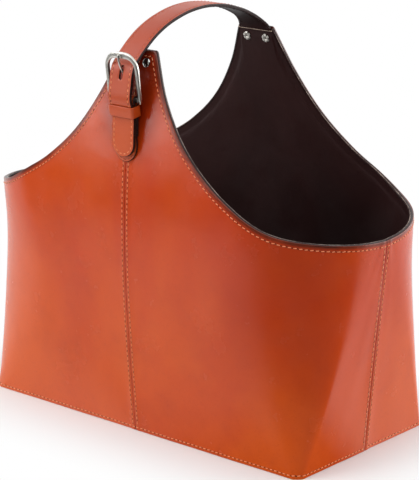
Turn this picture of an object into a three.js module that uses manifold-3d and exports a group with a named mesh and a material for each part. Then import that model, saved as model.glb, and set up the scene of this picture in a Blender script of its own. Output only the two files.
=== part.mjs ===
import * as THREE from 'three';
import { mergeVertices } from 'three/addons/utils/BufferGeometryUtils.js';
import Module from 'manifold-3d';

// A leather magazine basket: four corner panels over a board stiffener, a dark lining,
// two tall ears and a strap handle that is riveted into the back ear and buckled in front.
// Sizes are in millimetres. X runs along the basket, the front faces -Y, Z is up,
// and the origin lies on the floor under the middle of the base.

const wasm = await Module();
wasm.setup();

const gap = 0.3; // clearance between pieces that lie against each other
const overrun = 4; // how far a cutter reaches past what it cuts

const body = {
  baseLength: 400,
  middleLength: 421,
  rimLength: 445,
  depth: 216, // front to back where the walls belly out most
  rimHeight: 207, // lowest point of the rim, at the middle of each end
  earHeight: 368,
  backLiningHeight: 364, // top edge of the back lining, where the strap goes in behind it
  earWidth: 41,
  baseCorner: 12, // corner radius of the rectangular base
  middleCornerLong: 104, // corner radii half way up, along X and along Y
  middleCornerDeep: 56,
  rimCornerLong: 97, // corner radii at the oval rim
  rimCornerDeep: 101,
};

const layer = { leather: 1.9, board: 1.5, lining: 1 };

const floor = { cover: 2, board: 3, lining: 1.2 };

// Depth of the basket against height, as shares of the depth and of the ear height
const depthShares = [
  [0, 0.905], [0.163, 0.95], [0.326, 0.986], [0.489, 1],
  [0.652, 0.987], [0.788, 0.937], [0.897, 0.869], [1, 0.782],
];

// Drop of the rim from the ear corner to the middle of the end, as shares
// of the way round and of the drop from the ear height to the rim height
const rimShares = [
  [0, 1], [0.068, 0.75], [0.166, 0.51], [0.287, 0.325], [0.407, 0.2],
  [0.538, 0.1], [0.69, 0.05], [0.85, 0.02], [1, 0],
];

const panelSteps = { ear: 1, front: 7, corner: 8, end: 1, rows: 6 };
const roundLimitShare = 0.97; // the most of a side that a corner may take up

const strap = {
  width: 27.5,
  rootWidth: 40, // where it goes into the back ear
  flareHeight: 18, // over how much height it widens above the back ear
  leather: 1.5,
  lining: 1.1,
  apexHeight: 400,
  tipHeight: 271,
  tailHeight: 341, // lower end of the strap inside the back ear
};
strap.thickness = strap.leather + gap + strap.lining;

// How much of its extra width the strap has, against the height over its root
const flareShares = [[0, 1], [0.31, 0.68], [0.53, 0.39], [0.8, 0.09], [1, 0]];

// Arch of the strap, as shares of the ears' half depth and of the rise over them
const archShares = [
  [0.919, 0.079], [0.867, 0.213], [0.785, 0.38], [0.708, 0.491], [0.591, 0.638],
  [0.48, 0.74], [0.322, 0.871], [0.156, 0.953], [-0.094, 1], [-0.347, 0.943],
  [-0.516, 0.838], [-0.696, 0.678], [-0.876, 0.439], [-1.01, 0.187], [-1.128, -0.085],
];

// Run of the strap through the buckle, as shares of the buckle's length along the frame
// and of the strap's height over the heel bar
const strapInBuckleShares = [[0.851, -1.04], [0.742, -0.333], [0.603, 0.086], [0.402, 0.445]];
const strapSteps = 64;
const flareSteps = 8;

const buckle = {
  heelHeight: 325,
  standOff: 9.7, // from the wall to the middle of the heel bar
  lean: THREE.MathUtils.degToRad(6.7),
  length: 41, // from the heel bar to the middle of the front bar
  width: 41,
  frontBar: 6.2,
  sideBar: 4.2,
  thickness: 3.2,
  cornerOuter: 16,
  cornerInner: 9,
  heelRadius: 2.2,
  foot: 3.2, // how far the side bars reach past the heel bar
};

// The prong's run from the heel bar, as shares of the buckle's length along the frame
// and of the depth from the frame's middle to the prong where it lies on the front bar
const prong = { radius: 1.3, clearance: 0.35, slotWidth: 4.6, slotLength: 15 };
const prongShares = [
  [0.24, -0.3], [0.44, -0.82], [0.54, -0.62], [0.64, 0],
  [0.75, 0.62], [0.86, 0.96], [0.95, 1.03], [1.04, 1.02],
];
const prongSteps = 18;
const slotCentreShare = 0.58; // how far up the frame the strap's slot lies

// A doubled strip whose front layer reaches further down the wall
const chape = { width: 27, layer: 1.9, foldedHeight: 290, endHeight: 266, slot: 5.6 };
const chapeSteps = 10;

const keeper = {
  height: 314.5,
  width: 11.5,
  band: 1.3,
  sideSlack: 0.4,
  depthSlack: 2,
  corner: 2,
  lean: THREE.MathUtils.degToRad(8),
};

const rivet = {
  height: 357,
  spacing: 23.5,
  capRadius: 4.5,
  capHeight: 2,
  shankRadius: 1.8,
  starRadius: 4.4,
  starThickness: 0.9,
};

// How many flat sides the round pieces have
const sides = { rivet: 12, bar: 16, eye: 8, strapEnd: 24, arc: 4, keeperCorner: 2 };

const tan = new THREE.MeshStandardMaterial({ color: 0xc4501c, roughness: 0.35 });
const darkLeather = new THREE.MeshStandardMaterial({ color: 0x2c1c1a, roughness: 0.7 });
const fibreboard = new THREE.MeshStandardMaterial({ color: 0x9c8768, roughness: 0.9 });
const nickel = new THREE.MeshStandardMaterial({ color: 0xc9c9c6, roughness: 0.2, metalness: 1 });

// Helpers for curves, solids and booleans

// Parabola through three values, at the shares 0, one half and 1
function quadratic(low, middle, high, share) {
  const lowPart = low * (1 - share) * (1 - 2 * share);
  const middlePart = middle * 4 * share * (1 - share);
  const highPart = high * share * (2 * share - 1);
  return lowPart + middlePart + highPart;
}

function slopeAt(rows, index) {
  const before = rows[Math.max(index - 1, 0)];
  const after = rows[Math.min(index + 1, rows.length - 1)];
  return (after[1] - before[1]) / (after[0] - before[0]);
}

// Value of a smooth curve through rows of [place, value]
function smooth(rows, place) {
  const last = rows.length - 2;
  const found = rows.findIndex((row, index) => index <= last && place <= rows[index + 1][0]);
  const index = found < 0 ? last : found;
  const [start, end] = [rows[index], rows[index + 1]];
  const span = end[0] - start[0];
  const t = Math.min(Math.max((place - start[0]) / span, 0), 1);
  const rise = t * t * (3 - 2 * t);
  const leave = t * (1 - t) * (1 - t) * span * slopeAt(rows, index);
  const arrive = t * t * (t - 1) * span * slopeAt(rows, index + 1);
  return start[1] + (end[1] - start[1]) * rise + leave + arrive;
}

function geometryFrom(points, triangles) {
  const geometry = new THREE.BufferGeometry();
  geometry.setAttribute('position', new THREE.Float32BufferAttribute(points.flat(), 3));
  geometry.setIndex(triangles.flat());
  return geometry;
}

function toSolid(geometry) {
  const bare = geometry.clone();
  bare.deleteAttribute('normal');
  bare.deleteAttribute('uv');
  const merged = mergeVertices(bare);
  const vertProperties = new Float32Array(merged.attributes.position.array);
  const triVerts = new Uint32Array(merged.index.array);
  return new wasm.Manifold(new wasm.Mesh({ numProp: 3, vertProperties, triVerts }));
}

function toGeometry(solid) {
  const mesh = solid.getMesh();
  const geometry = new THREE.BufferGeometry();
  geometry.setAttribute('position', new THREE.Float32BufferAttribute(mesh.vertProperties, 3));
  geometry.setIndex(new THREE.Uint32BufferAttribute(mesh.triVerts, 1));
  return geometry;
}

function cut(geometry, cutters) {
  const solid = cutters.reduce((left, cutter) => left.subtract(toSolid(cutter)), toSolid(geometry));
  return toGeometry(solid);
}

function join(geometries) {
  return toGeometry(geometries.map(toSolid).reduce((sum, next) => sum.add(next)));
}

function addMesh(parent, name, geometry, material) {
  const mesh = new THREE.Mesh(geometry, material);
  mesh.name = name;
  parent.add(mesh);
  return mesh;
}

// The walls: a plan section at each height, with columns that run up from the base to the rim.
// Columns 0 to 1 span the flat front, 1 to 2 the rounded corner and 2 to 3 the flat end.

function depthAt(height) {
  return body.depth * smooth(depthShares, height / body.earHeight);
}

function wallAt(height) {
  return depthAt(height) / 2;
}

// The middle of the front and the back is flat between its rows of points
function faceAt(height) {
  const row = body.earHeight / panelSteps.rows;
  const below = Math.min(Math.floor(height / row), panelSteps.rows - 1) * row;
  return THREE.MathUtils.lerp(wallAt(below), wallAt(below + row), (height - below) / row);
}

function faceLean(height) {
  return Math.atan2(faceAt(height - overrun) - faceAt(height + overrun), 2 * overrun);
}

function sectionAt(height, inset) {
  const share = Math.min(height / body.rimHeight, 1);
  const length = quadratic(body.baseLength, body.middleLength, body.rimLength, share);
  const long = quadratic(body.baseCorner, body.middleCornerLong, body.rimCornerLong, share);
  const deep = quadratic(body.baseCorner, body.middleCornerDeep, body.rimCornerDeep, share);
  const halfLength = length / 2 - inset;
  const halfDepth = wallAt(height) - inset;
  const cornerLong = Math.min(long - inset, halfLength * roundLimitShare);
  const cornerDeep = Math.min(deep - inset, halfDepth * roundLimitShare);
  return { halfLength, halfDepth, cornerLong, cornerDeep };
}

function planPoint(section, column) {
  const side = Math.sign(column);
  const along = Math.abs(column);
  const frontHalf = section.halfLength - section.cornerLong;
  const endHalf = section.halfDepth - section.cornerDeep;
  if (along <= 1) return [side * along * frontHalf, -section.halfDepth];
  if (along >= 2) return [side * section.halfLength, -endHalf * (3 - along)];
  const turn = (along - 1) * Math.PI / 2;
  const x = frontHalf + section.cornerLong * Math.sin(turn);
  return [side * x, -endHalf - section.cornerDeep * Math.cos(turn)];
}

function spread(from, to, steps) {
  return Array.from({ length: steps }, (_, step) => from + (to - from) * (step + 1) / steps);
}

const rimSection = sectionAt(body.rimHeight, 0);
const earColumn = body.earWidth / 2 / (rimSection.halfLength - rimSection.cornerLong);
const quarterColumns = [
  0,
  ...spread(0, earColumn, panelSteps.ear),
  ...spread(earColumn, 1, panelSteps.front),
  ...spread(1, 2, panelSteps.corner),
  ...spread(2, 3, panelSteps.end),
];
const leftColumns = quarterColumns.map((column) => -column).reverse();
const frontColumns = [...leftColumns, ...quarterColumns.slice(1)];

// Height of the wall at each column, from the way round that the rim has run since the ear
function rimHeights() {
  const places = quarterColumns.map((column) => {
    return new THREE.Vector2(...planPoint(rimSection, column));
  });
  const ways = [0];
  places.slice(1).forEach((place, index) => {
    ways.push(ways[index] + place.distanceTo(places[index]));
  });
  const start = ways[panelSteps.ear];
  const total = Math.max(...ways) - start;
  const drop = body.earHeight - body.rimHeight;
  return ways.map((way) => {
    const share = Math.max(way - start, 0) / total;
    return body.rimHeight + drop * smooth(rimShares, share);
  });
}

const columnHeights = rimHeights();
const heights = new Map(quarterColumns.map((column, index) => [column, columnHeights[index]]));

function wallPoint(column, inset, share) {
  const height = heights.get(Math.abs(column)) * share;
  return new THREE.Vector3(...planPoint(sectionAt(height, inset), column), height);
}

// Rows of points up the wall. Every layer has its rows at the same heights, apart from
// the lowest, which lies where the layer starts on the first stretch up from the floor.
function wallGrid(columns, bottom, inset) {
  const shares = spread(0, 1, panelSteps.rows);
  const rowAt = (share) => columns.map((column) => wallPoint(column, inset, share).toArray());
  const lowest = columns.map((column) => {
    const [low, high] = [wallPoint(column, inset, 0), wallPoint(column, inset, shares[0])];
    return low.lerp(high, bottom / high.z).toArray();
  });
  return [lowest, ...shares.map(rowAt)];
}

function quad(a, b, c, d) {
  return [[a, b, c], [a, c, d]].flat();
}

// Closed sheet between an outer and an inner grid of points
function sheet(outer, inner) {
  const [rows, columns] = [outer.length, outer[0].length];
  const back = rows * columns;
  const at = (row, column) => row * columns + column;
  const triangles = [];
  for (let row = 0; row < rows - 1; row += 1) {
    for (let column = 0; column < columns - 1; column += 1) {
      const [a, b] = [at(row, column), at(row, column + 1)];
      const [c, d] = [at(row + 1, column + 1), at(row + 1, column)];
      triangles.push(quad(a, b, c, d), quad(a + back, d + back, c + back, b + back));
    }
  }
  const ring = [
    ...Array.from({ length: columns - 1 }, (_, column) => at(0, column)),
    ...Array.from({ length: rows - 1 }, (_, row) => at(row, columns - 1)),
    ...Array.from({ length: columns - 1 }, (_, column) => at(rows - 1, columns - 1 - column)),
    ...Array.from({ length: rows - 1 }, (_, row) => at(rows - 1 - row, 0)),
  ];
  ring.forEach((corner, index) => {
    const next = ring[(index + 1) % ring.length];
    triangles.push(quad(corner, corner + back, next + back, next));
  });
  return geometryFrom([...outer.flat(), ...inner.flat()], triangles);
}

function wallSheet(columns, bottom, inset, thickness) {
  return sheet(wallGrid(columns, bottom, inset), wallGrid(columns, bottom, inset + thickness));
}

// Plate that fits inside the walls between two heights
function plate(bottom, top, inset) {
  const around = (height) => {
    const section = sectionAt(height, inset);
    const half = frontColumns.slice(1).map((column) => planPoint(section, column));
    return [...half, ...half.map(([x, y]) => [-x, -y])];
  };
  const [lower, upper] = [around(bottom), around(top)];
  const count = lower.length;
  const outline = lower.map((point) => new THREE.Vector2(...point));
  const faces = THREE.ShapeUtils.triangulateShape(outline, []);
  const triangles = faces.flatMap(([a, b, c]) => {
    return [[a, c, b], [a + count, b + count, c + count]];
  });
  lower.forEach((_, index) => {
    const next = (index + 1) % count;
    triangles.push(quad(index, next, next + count, index + count));
  });
  const floorPoints = lower.map((point) => [...point, bottom]);
  const topPoints = upper.map((point) => [...point, top]);
  return geometryFrom([...floorPoints, ...topPoints], triangles);
}

// Rivets: a domed cap outside, a shank through every layer and a spread star end inside

const wallThickness = layer.leather + layer.board + layer.lining + 2 * gap;

function placeOnEar(object, x, side) {
  const lean = faceLean(rivet.height);
  object.position.set(x, side * faceAt(rivet.height), rivet.height);
  object.rotation.x = side > 0 ? lean : Math.PI - lean;
  object.updateMatrix();
  return object;
}

// Turned along its own axis, with the outside of the wall at zero
function rivetGeometry() {
  const star = -wallThickness - gap;
  const profile = [
    [0, star - rivet.starThickness],
    [rivet.starRadius, star - rivet.starThickness],
    [rivet.starRadius, star],
    [rivet.shankRadius, star],
    [rivet.shankRadius, gap],
    [rivet.capRadius, gap],
    [rivet.capRadius, gap + rivet.capHeight / 4],
    [rivet.capRadius * 3 / 4, gap + rivet.capHeight * 3 / 4],
    [0, gap + rivet.capHeight],
  ];
  const outline = profile.map((point) => new THREE.Vector2(...point));
  return new THREE.LatheGeometry(outline, sides.rivet);
}

function rivetHoles(side) {
  const reach = 2 * (wallThickness + strap.thickness + overrun);
  return [-rivet.spacing / 2, rivet.spacing / 2].map((x) => {
    const radius = rivet.shankRadius + gap;
    const hole = new THREE.CylinderGeometry(radius, radius, reach, sides.rivet);
    return hole.applyMatrix4(placeOnEar(new THREE.Object3D(), x, side).matrix);
  });
}

function addRivets(parent) {
  [['front', -1], ['back', 1]].forEach(([wall, side]) => {
    ['left', 'right'].forEach((hand, index) => {
      const mesh = addMesh(parent, `${wall}_${hand}_rivet`, rivetGeometry(), nickel);
      placeOnEar(mesh, rivet.spacing * (index - 1 / 2), side);
    });
  });
}

// Cutter that takes off the top of a front wall. A back wall is a front wall turned round.
function above(height) {
  const reach = body.earHeight - height + overrun;
  const cutter = new THREE.BoxGeometry(body.rimLength, body.depth, reach);
  return cutter.translate(0, -body.depth / 2, height + reach / 2);
}

function addWalls(parent) {
  const boardInset = layer.leather + gap;
  const liningInset = boardInset + layer.board + gap;
  const boardFoot = floor.cover + gap;
  const liningFoot = floor.cover + floor.board + gap;
  const holes = rivetHoles(-1);
  const overStrap = [above(strap.tailHeight - gap)]; // the boards make room for the strap
  const panels = [
    ['leather_panel', tan, 0, 0, layer.leather, []],
    ['stiffener_board', fibreboard, boardFoot, boardInset, layer.board, overStrap],
  ];
  panels.forEach(([name, material, foot, inset, thickness, backCutters]) => {
    const right = cut(wallSheet(quarterColumns, foot, inset, thickness), holes);
    const left = cut(wallSheet(leftColumns, foot, inset, thickness), holes);
    addMesh(parent, `front_right_${name}`, right, material);
    addMesh(parent, `front_left_${name}`, left, material);
    addMesh(parent, `back_left_${name}`, cut(right, backCutters), material).rotation.z = Math.PI;
    addMesh(parent, `back_right_${name}`, cut(left, backCutters), material).rotation.z = Math.PI;
  });
  const lining = cut(wallSheet(frontColumns, liningFoot, liningInset, layer.lining), holes);
  const lowered = cut(lining, [above(body.backLiningHeight)]);
  addMesh(parent, 'front_lining', lining, darkLeather);
  addMesh(parent, 'back_lining', lowered, darkLeather).rotation.z = Math.PI;
}

function addFloor(parent) {
  const coverInset = layer.leather + gap;
  const boardInset = coverInset + layer.board + gap;
  const liningInset = boardInset + layer.lining + gap;
  const boardTop = floor.cover + floor.board;
  const liningTop = boardTop + floor.lining;
  addMesh(parent, 'base_cover', plate(0, floor.cover, coverInset), tan);
  addMesh(parent, 'base_board', plate(floor.cover, boardTop, boardInset), fibreboard);
  addMesh(parent, 'floor_lining', plate(boardTop, liningTop, liningInset), darkLeather);
}

// The buckle's own frame of reference: along its side bars from the heel bar up, and outwards

const axisX = new THREE.Vector3(1, 0, 0);
const axisY = new THREE.Vector3(0, 1, 0);
const axisZ = new THREE.Vector3(0, 0, 1);
const heel = new THREE.Vector3(0, -faceAt(buckle.heelHeight) - buckle.standOff, buckle.heelHeight);
const frameUp = new THREE.Vector3(0, -Math.sin(buckle.lean), Math.cos(buckle.lean));
const frameOut = new THREE.Vector3(0, -Math.cos(buckle.lean), -Math.sin(buckle.lean));
const frameMatrix = new THREE.Matrix4().makeBasis(axisX, frameUp, frameOut).setPosition(heel);

function framePoint(along, out) {
  return heel.clone().addScaledVector(frameUp, along).addScaledVector(frameOut, out);
}

// Where the chape and the strap run in the YZ plane

const prongEyeRadius = buckle.heelRadius + prong.clearance + prong.radius;
const strapOnChape = chape.layer + gap + strap.thickness / 2;
const strapOverHeel = prongEyeRadius + prong.radius + 2 * gap + strap.thickness / 2;
const keeperLift = keeper.width / 2 * (Math.tan(keeper.lean) + Math.tan(faceLean(keeper.height)));
const chapeLift = keeper.band + gap + keeperLift;

// Point in front of the front wall, or inside it where the distance is below zero
function onFront(height, distance) {
  return new THREE.Vector3(0, -faceAt(height) - distance, height);
}

const chapeEnd = onFront(chape.foldedHeight, gap + chape.layer);
const chapeAtKeeper = onFront(keeper.height, gap + chape.layer + chapeLift);

// The strap's end lies in the place of the board, between the leather and the lining
function inBackEar(height) {
  const inset = layer.leather + gap + strap.thickness / 2;
  return new THREE.Vector3(0, faceAt(height) - inset, height);
}

function strapCurve() {
  const rise = strap.apexHeight - strap.thickness / 2 - body.earHeight;
  const arch = archShares.map(([across, up]) => {
    return new THREE.Vector3(0, wallAt(body.earHeight) * across, body.earHeight + rise * up);
  });
  const throughBuckle = strapInBuckleShares.map(([along, out]) => {
    return framePoint(buckle.length * along, strapOverHeel * out);
  });
  const belowKeeper = chapeEnd.clone().setY(chapeEnd.y - strapOnChape);
  return new THREE.CatmullRomCurve3([
    inBackEar(strap.tailHeight),
    inBackEar(rivet.height),
    inBackEar(body.backLiningHeight),
    ...arch,
    ...throughBuckle,
    framePoint(0, strapOverHeel),
    chapeAtKeeper.clone().setY(chapeAtKeeper.y - strapOnChape - gap),
    belowKeeper,
    onFront(strap.tipHeight, gap + strapOnChape),
  ]);
}

// Solid of even thickness with its middle at zero
function extrude(outline, depth, curveSegments) {
  const options = { depth, bevelEnabled: false, curveSegments };
  return new THREE.ExtrudeGeometry(outline, options).translate(0, 0, -depth / 2);
}

// Solid with a given outline in the YZ plane, centred on X
function alongX(outline, width) {
  const turn = new THREE.Matrix4().makeBasis(axisY, axisZ, axisX);
  return extrude(outline, width, sides.arc).applyMatrix4(turn);
}

// Strip of leather that follows a curve in the YZ plane, between two offsets from it
function strip(curve, steps, inner, outer, width) {
  const edge = (offset) => [0, ...spread(0, 1, steps)].map((share) => {
    const [at, way] = [curve.getPointAt(share), curve.getTangentAt(share)];
    return new THREE.Vector2(at.y + way.z * offset, at.z - way.y * offset);
  });
  return alongX(new THREE.Shape([...edge(inner), ...edge(outer).reverse()]), width);
}

function barAlongX(radius, length, centre) {
  const bar = new THREE.CylinderGeometry(radius, radius, length, sides.bar);
  bar.rotateZ(Math.PI / 2);
  return bar.translate(...centre);
}

// Cutter that leaves the lower end of a strap round
function roundEnd(end, width) {
  const radius = width / 2;
  const depth = strap.thickness + 2 * overrun;
  const block = new THREE.BoxGeometry(width + 2 * overrun, depth, radius + overrun);
  block.translate(0, end.y, end.z + (radius - overrun) / 2);
  const round = new THREE.CylinderGeometry(radius, radius, depth + overrun, sides.strapEnd);
  round.translate(0, end.y, end.z + radius);
  return cut(block, [round]);
}

// Cutters beside the strap, which is wide at its root in the back ear and narrow elsewhere
function besideStrap(side) {
  const growth = (strap.rootWidth - strap.width) / 2;
  const [half, outside] = [strap.width / 2, strap.rootWidth / 2 + overrun];
  const [root, top] = [body.backLiningHeight, strap.apexHeight + overrun];
  const flare = spread(0, 1, flareSteps).map((share) => {
    const x = half + growth * smooth(flareShares, share);
    return [side * x, root + strap.flareHeight * share];
  });
  const outline = [[side * outside, root], ...flare, [side * half, top], [side * outside, top]];
  const shape = new THREE.Shape(outline.map((point) => new THREE.Vector2(...point)));
  const turn = new THREE.Matrix4().makeBasis(axisX, axisZ, axisY.clone().negate());
  const back = extrude(shape, body.depth, sides.arc).applyMatrix4(turn);
  back.translate(0, body.depth / 2, 0);
  const front = new THREE.BoxGeometry(outside - half, body.depth, top);
  front.translate(side * (outside + half) / 2, overrun - body.depth / 2, top / 2);
  return [back, front];
}

// Cutter for the slot that the prong comes through
function prongSlot() {
  const [half, reach] = [prong.slotWidth / 2, strap.thickness + 2 * overrun];
  const straight = prong.slotLength / 2 - half;
  const outline = new THREE.Shape();
  outline.absarc(0, straight, half, 0, Math.PI);
  outline.absarc(0, -straight, half, Math.PI, 2 * Math.PI);
  const slot = extrude(outline, reach, sides.arc);
  slot.translate(0, buckle.length * slotCentreShare, 0);
  return slot.applyMatrix4(frameMatrix);
}

function addStrap(parent) {
  const curve = strapCurve();
  const half = strap.thickness / 2;
  const tip = roundEnd(curve.getPoint(1), strap.width);
  const cutters = [tip, prongSlot(), ...besideStrap(1), ...besideStrap(-1)];
  const leather = strip(curve, strapSteps, half - strap.leather, half, strap.rootWidth);
  const lining = strip(curve, strapSteps, -half, strap.lining - half, strap.rootWidth);
  const earTop = body.backLiningHeight + gap;
  const inEar = new THREE.BoxGeometry(body.rimLength, body.depth, 2 * earTop);
  inEar.translate(0, body.depth / 2, 0);
  addMesh(parent, 'handle_strap', cut(leather, [...cutters, ...rivetHoles(1)]), tan);
  addMesh(parent, 'handle_strap_lining', cut(lining, [...cutters, inEar]), darkLeather);
}

// Sewn to the front wall, folded round the heel bar and slotted for the prong
function addChape(parent) {
  const folded = new THREE.CatmullRomCurve3([chapeEnd, chapeAtKeeper, heel]);
  const tails = strip(folded, chapeSteps, -chape.layer, chape.layer, chape.width);
  const half = chape.layer / 2;
  const longer = new THREE.CatmullRomCurve3([
    onFront(chape.endHeight, gap + half),
    onFront(chape.foldedHeight - chape.width / 4, gap + half),
    onFront(chape.foldedHeight + half, gap + chape.layer + half),
  ]);
  const layer = strip(longer, chapeSteps, -half, half, chape.width);
  const end = cut(layer, [roundEnd(longer.getPoint(0), chape.width)]);
  const bore = buckle.heelRadius + gap;
  const fold = barAlongX(bore + chape.layer, chape.width, heel);
  const slotHalf = prongEyeRadius + prong.radius + 2 * gap;
  const slot = new THREE.BoxGeometry(chape.slot, 2 * slotHalf, 2 * slotHalf);
  slot.translate(...heel);
  const cutters = [barAlongX(bore, chape.width + overrun, heel), slot];
  addMesh(parent, 'buckle_chape', cut(join([tails, end, fold]), cutters), tan);
}

function frameOutline() {
  const [half, foot] = [buckle.width / 2, -buckle.foot];
  const [outer, inner] = [buckle.cornerOuter, buckle.cornerInner];
  const outerTop = buckle.length + buckle.frontBar / 2;
  const innerTop = buckle.length - buckle.frontBar / 2;
  const innerHalf = half - buckle.sideBar;
  const outline = new THREE.Shape();
  outline.moveTo(half, foot);
  outline.absarc(half - outer, outerTop - outer, outer, 0, Math.PI / 2);
  outline.absarc(outer - half, outerTop - outer, outer, Math.PI / 2, Math.PI);
  outline.lineTo(-half, foot);
  outline.lineTo(-innerHalf, foot);
  outline.absarc(inner - innerHalf, innerTop - inner, inner, Math.PI, Math.PI / 2, true);
  outline.absarc(innerHalf - inner, innerTop - inner, inner, Math.PI / 2, 0, true);
  outline.lineTo(innerHalf, foot);
  return outline;
}

function addBuckle(parent) {
  const arch = extrude(frameOutline(), buckle.thickness, sides.arc);
  arch.applyMatrix4(frameMatrix);
  const bar = barAlongX(buckle.heelRadius, buckle.width - buckle.sideBar, heel);
  addMesh(parent, 'buckle_frame', join([arch, bar]), nickel);
}

function addProng(parent) {
  const eye = new THREE.TorusGeometry(prongEyeRadius, prong.radius, sides.eye, sides.bar);
  eye.rotateY(Math.PI / 2);
  eye.translate(...heel);
  const onBar = buckle.thickness / 2 + gap + prong.radius;
  const run = prongShares.map(([along, out]) => framePoint(buckle.length * along, onBar * out));
  const extrudePath = new THREE.CatmullRomCurve3([framePoint(prongEyeRadius, 0), ...run]);
  const section = new THREE.Shape().absarc(0, 0, prong.radius, 0, 2 * Math.PI);
  const options = { steps: prongSteps, extrudePath, curveSegments: sides.arc };
  const rod = new THREE.ExtrudeGeometry(section, options);
  addMesh(parent, 'buckle_prong', join([eye, rod]), nickel);
}

function roundedRectangle(halfWidth, low, high, corner) {
  const outline = new THREE.Shape();
  outline.absarc(halfWidth - corner, low + corner, corner, -Math.PI / 2, 0);
  outline.absarc(halfWidth - corner, high - corner, corner, 0, Math.PI / 2);
  outline.absarc(corner - halfWidth, high - corner, corner, Math.PI / 2, Math.PI);
  outline.absarc(corner - halfWidth, low + corner, corner, Math.PI, 3 * Math.PI / 2);
  return outline;
}

// Band round the chape and the strap, with its inner back face at the zero of its outline
function addKeeper(parent) {
  const depth = 2 * chape.layer + 2 * gap + strap.thickness + keeper.depthSlack;
  const half = strap.width / 2 + keeper.sideSlack;
  const { band, corner, width } = keeper;
  const outline = roundedRectangle(half + band, -band, depth + band, corner);
  outline.holes.push(roundedRectangle(half, 0, depth, corner - band));
  const ring = extrude(outline, width, sides.keeperCorner);
  ring.rotateX(Math.PI + keeper.lean);
  const back = chapeAtKeeper.y + chape.layer + gap;
  addMesh(parent, 'strap_keeper', ring.translate(0, back, keeper.height), tan);
}

const basket = new THREE.Group();
addWalls(basket);
addFloor(basket);
addRivets(basket);
addStrap(basket);
addChape(basket);
addBuckle(basket);
addProng(basket);
addKeeper(basket);

export default basket;
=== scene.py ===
"""Looks of the leather magazine basket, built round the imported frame.

Shapes are worked out in millimetres in the row frame, and the meshes are made in metres.
A place on a wall is a column and a height: column 0 is the middle of the front, -1 to 1 its flat
part, 1 to 2 a corner and 3 the middle of an end. Left columns are negative. The back wall is the
front wall after half a turn.
"""

import math

import bmesh
import bpy
import numpy as np
from mathutils import Matrix


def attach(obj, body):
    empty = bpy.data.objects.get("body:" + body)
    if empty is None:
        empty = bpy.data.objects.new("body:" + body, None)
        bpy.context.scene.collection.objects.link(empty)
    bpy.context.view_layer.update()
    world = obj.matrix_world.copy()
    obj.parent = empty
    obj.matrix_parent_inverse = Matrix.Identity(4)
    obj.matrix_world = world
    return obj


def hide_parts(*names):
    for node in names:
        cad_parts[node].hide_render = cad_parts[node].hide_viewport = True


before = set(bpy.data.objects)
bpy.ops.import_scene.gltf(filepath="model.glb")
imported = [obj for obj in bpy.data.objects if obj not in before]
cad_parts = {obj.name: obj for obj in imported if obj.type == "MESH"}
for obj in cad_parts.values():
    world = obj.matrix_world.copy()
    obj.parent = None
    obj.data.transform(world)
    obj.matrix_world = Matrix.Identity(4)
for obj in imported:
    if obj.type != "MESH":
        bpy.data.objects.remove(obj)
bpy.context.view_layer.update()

MM = 0.001
X, Y, Z = np.eye(3)
FRONT, BACK = np.array((1, 1, 1)), np.array((-1, -1, 1))
draw = np.random.default_rng(11)

# Walls. Lengths and corners are given at the floor, half way and at the rim.
DEPTH = 216.0
EAR_HEIGHT = 368.0
RIM_HEIGHT = 207.0
EAR_HALF = 20.5
LENGTHS = (400.0, 421.0, 445.0)
CORNERS_LONG = (12.0, 104.0, 97.0)
CORNERS_DEEP = (12.0, 56.0, 101.0)
RIM_BLEND = 0.1
DEPTH_SHARES = (
    (0, 0.905), (0.163, 0.95), (0.326, 0.986), (0.489, 1),
    (0.652, 0.987), (0.788, 0.937), (0.897, 0.869), (1, 0.782),
)
RIM_SHARES = (
    (0, 1), (0.068, 0.75), (0.166, 0.51), (0.287, 0.325), (0.407, 0.2),
    (0.538, 0.1), (0.69, 0.05), (0.85, 0.02), (1, 0),
)
EAR_ROUNDING = 3.0
LEATHER = 1.9
BOARD_FACES = (2.1, 3.6)
BOARD_FOOT = 2.3
BOARD_DROP = 1.6
BACK_BOARD_TOP = 340.7
LINING_INSET = 3.9
LINING_FOOT = 5.3
LINING_DROP = 0.3
WALL = 5.0
BACK_LINING_TOP = 364.0
GAP = 0.3

# Strap handle. Its arch is given in shares of the ears' half depth and of its rise.
STRAP_HALF = 13.75
STRAP_ROOT_HALF = 20.0
STRAP_THICK = 2.9
STRAP_SPLIT = -0.2
FLARE_HEIGHT = 18.0
FLARE_SHARES = ((0, 1), (0.31, 0.68), (0.53, 0.39), (0.8, 0.09), (1, 0))
APEX_HEIGHT = 400.0
ARCH_SHARES = (
    (0.919, 0.079), (0.867, 0.213), (0.785, 0.38), (0.708, 0.491), (0.591, 0.638),
    (0.48, 0.74), (0.322, 0.871), (0.156, 0.953), (-0.094, 1), (-0.347, 0.943),
    (-0.516, 0.838), (-0.696, 0.678), (-0.876, 0.439), (-1.01, 0.187), (-1.128, -0.085),
)
IN_BUCKLE_SHARES = ((0.851, -1.04), (0.742, -0.333), (0.603, 0.086), (0.402, 0.445))
ROOT_HEIGHTS = (341, 357, BACK_LINING_TOP)
TONGUE_HEIGHT = 271
STRAP_SLOT = (6.65, 2.3)
SLOT_SHARE = 0.601

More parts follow.
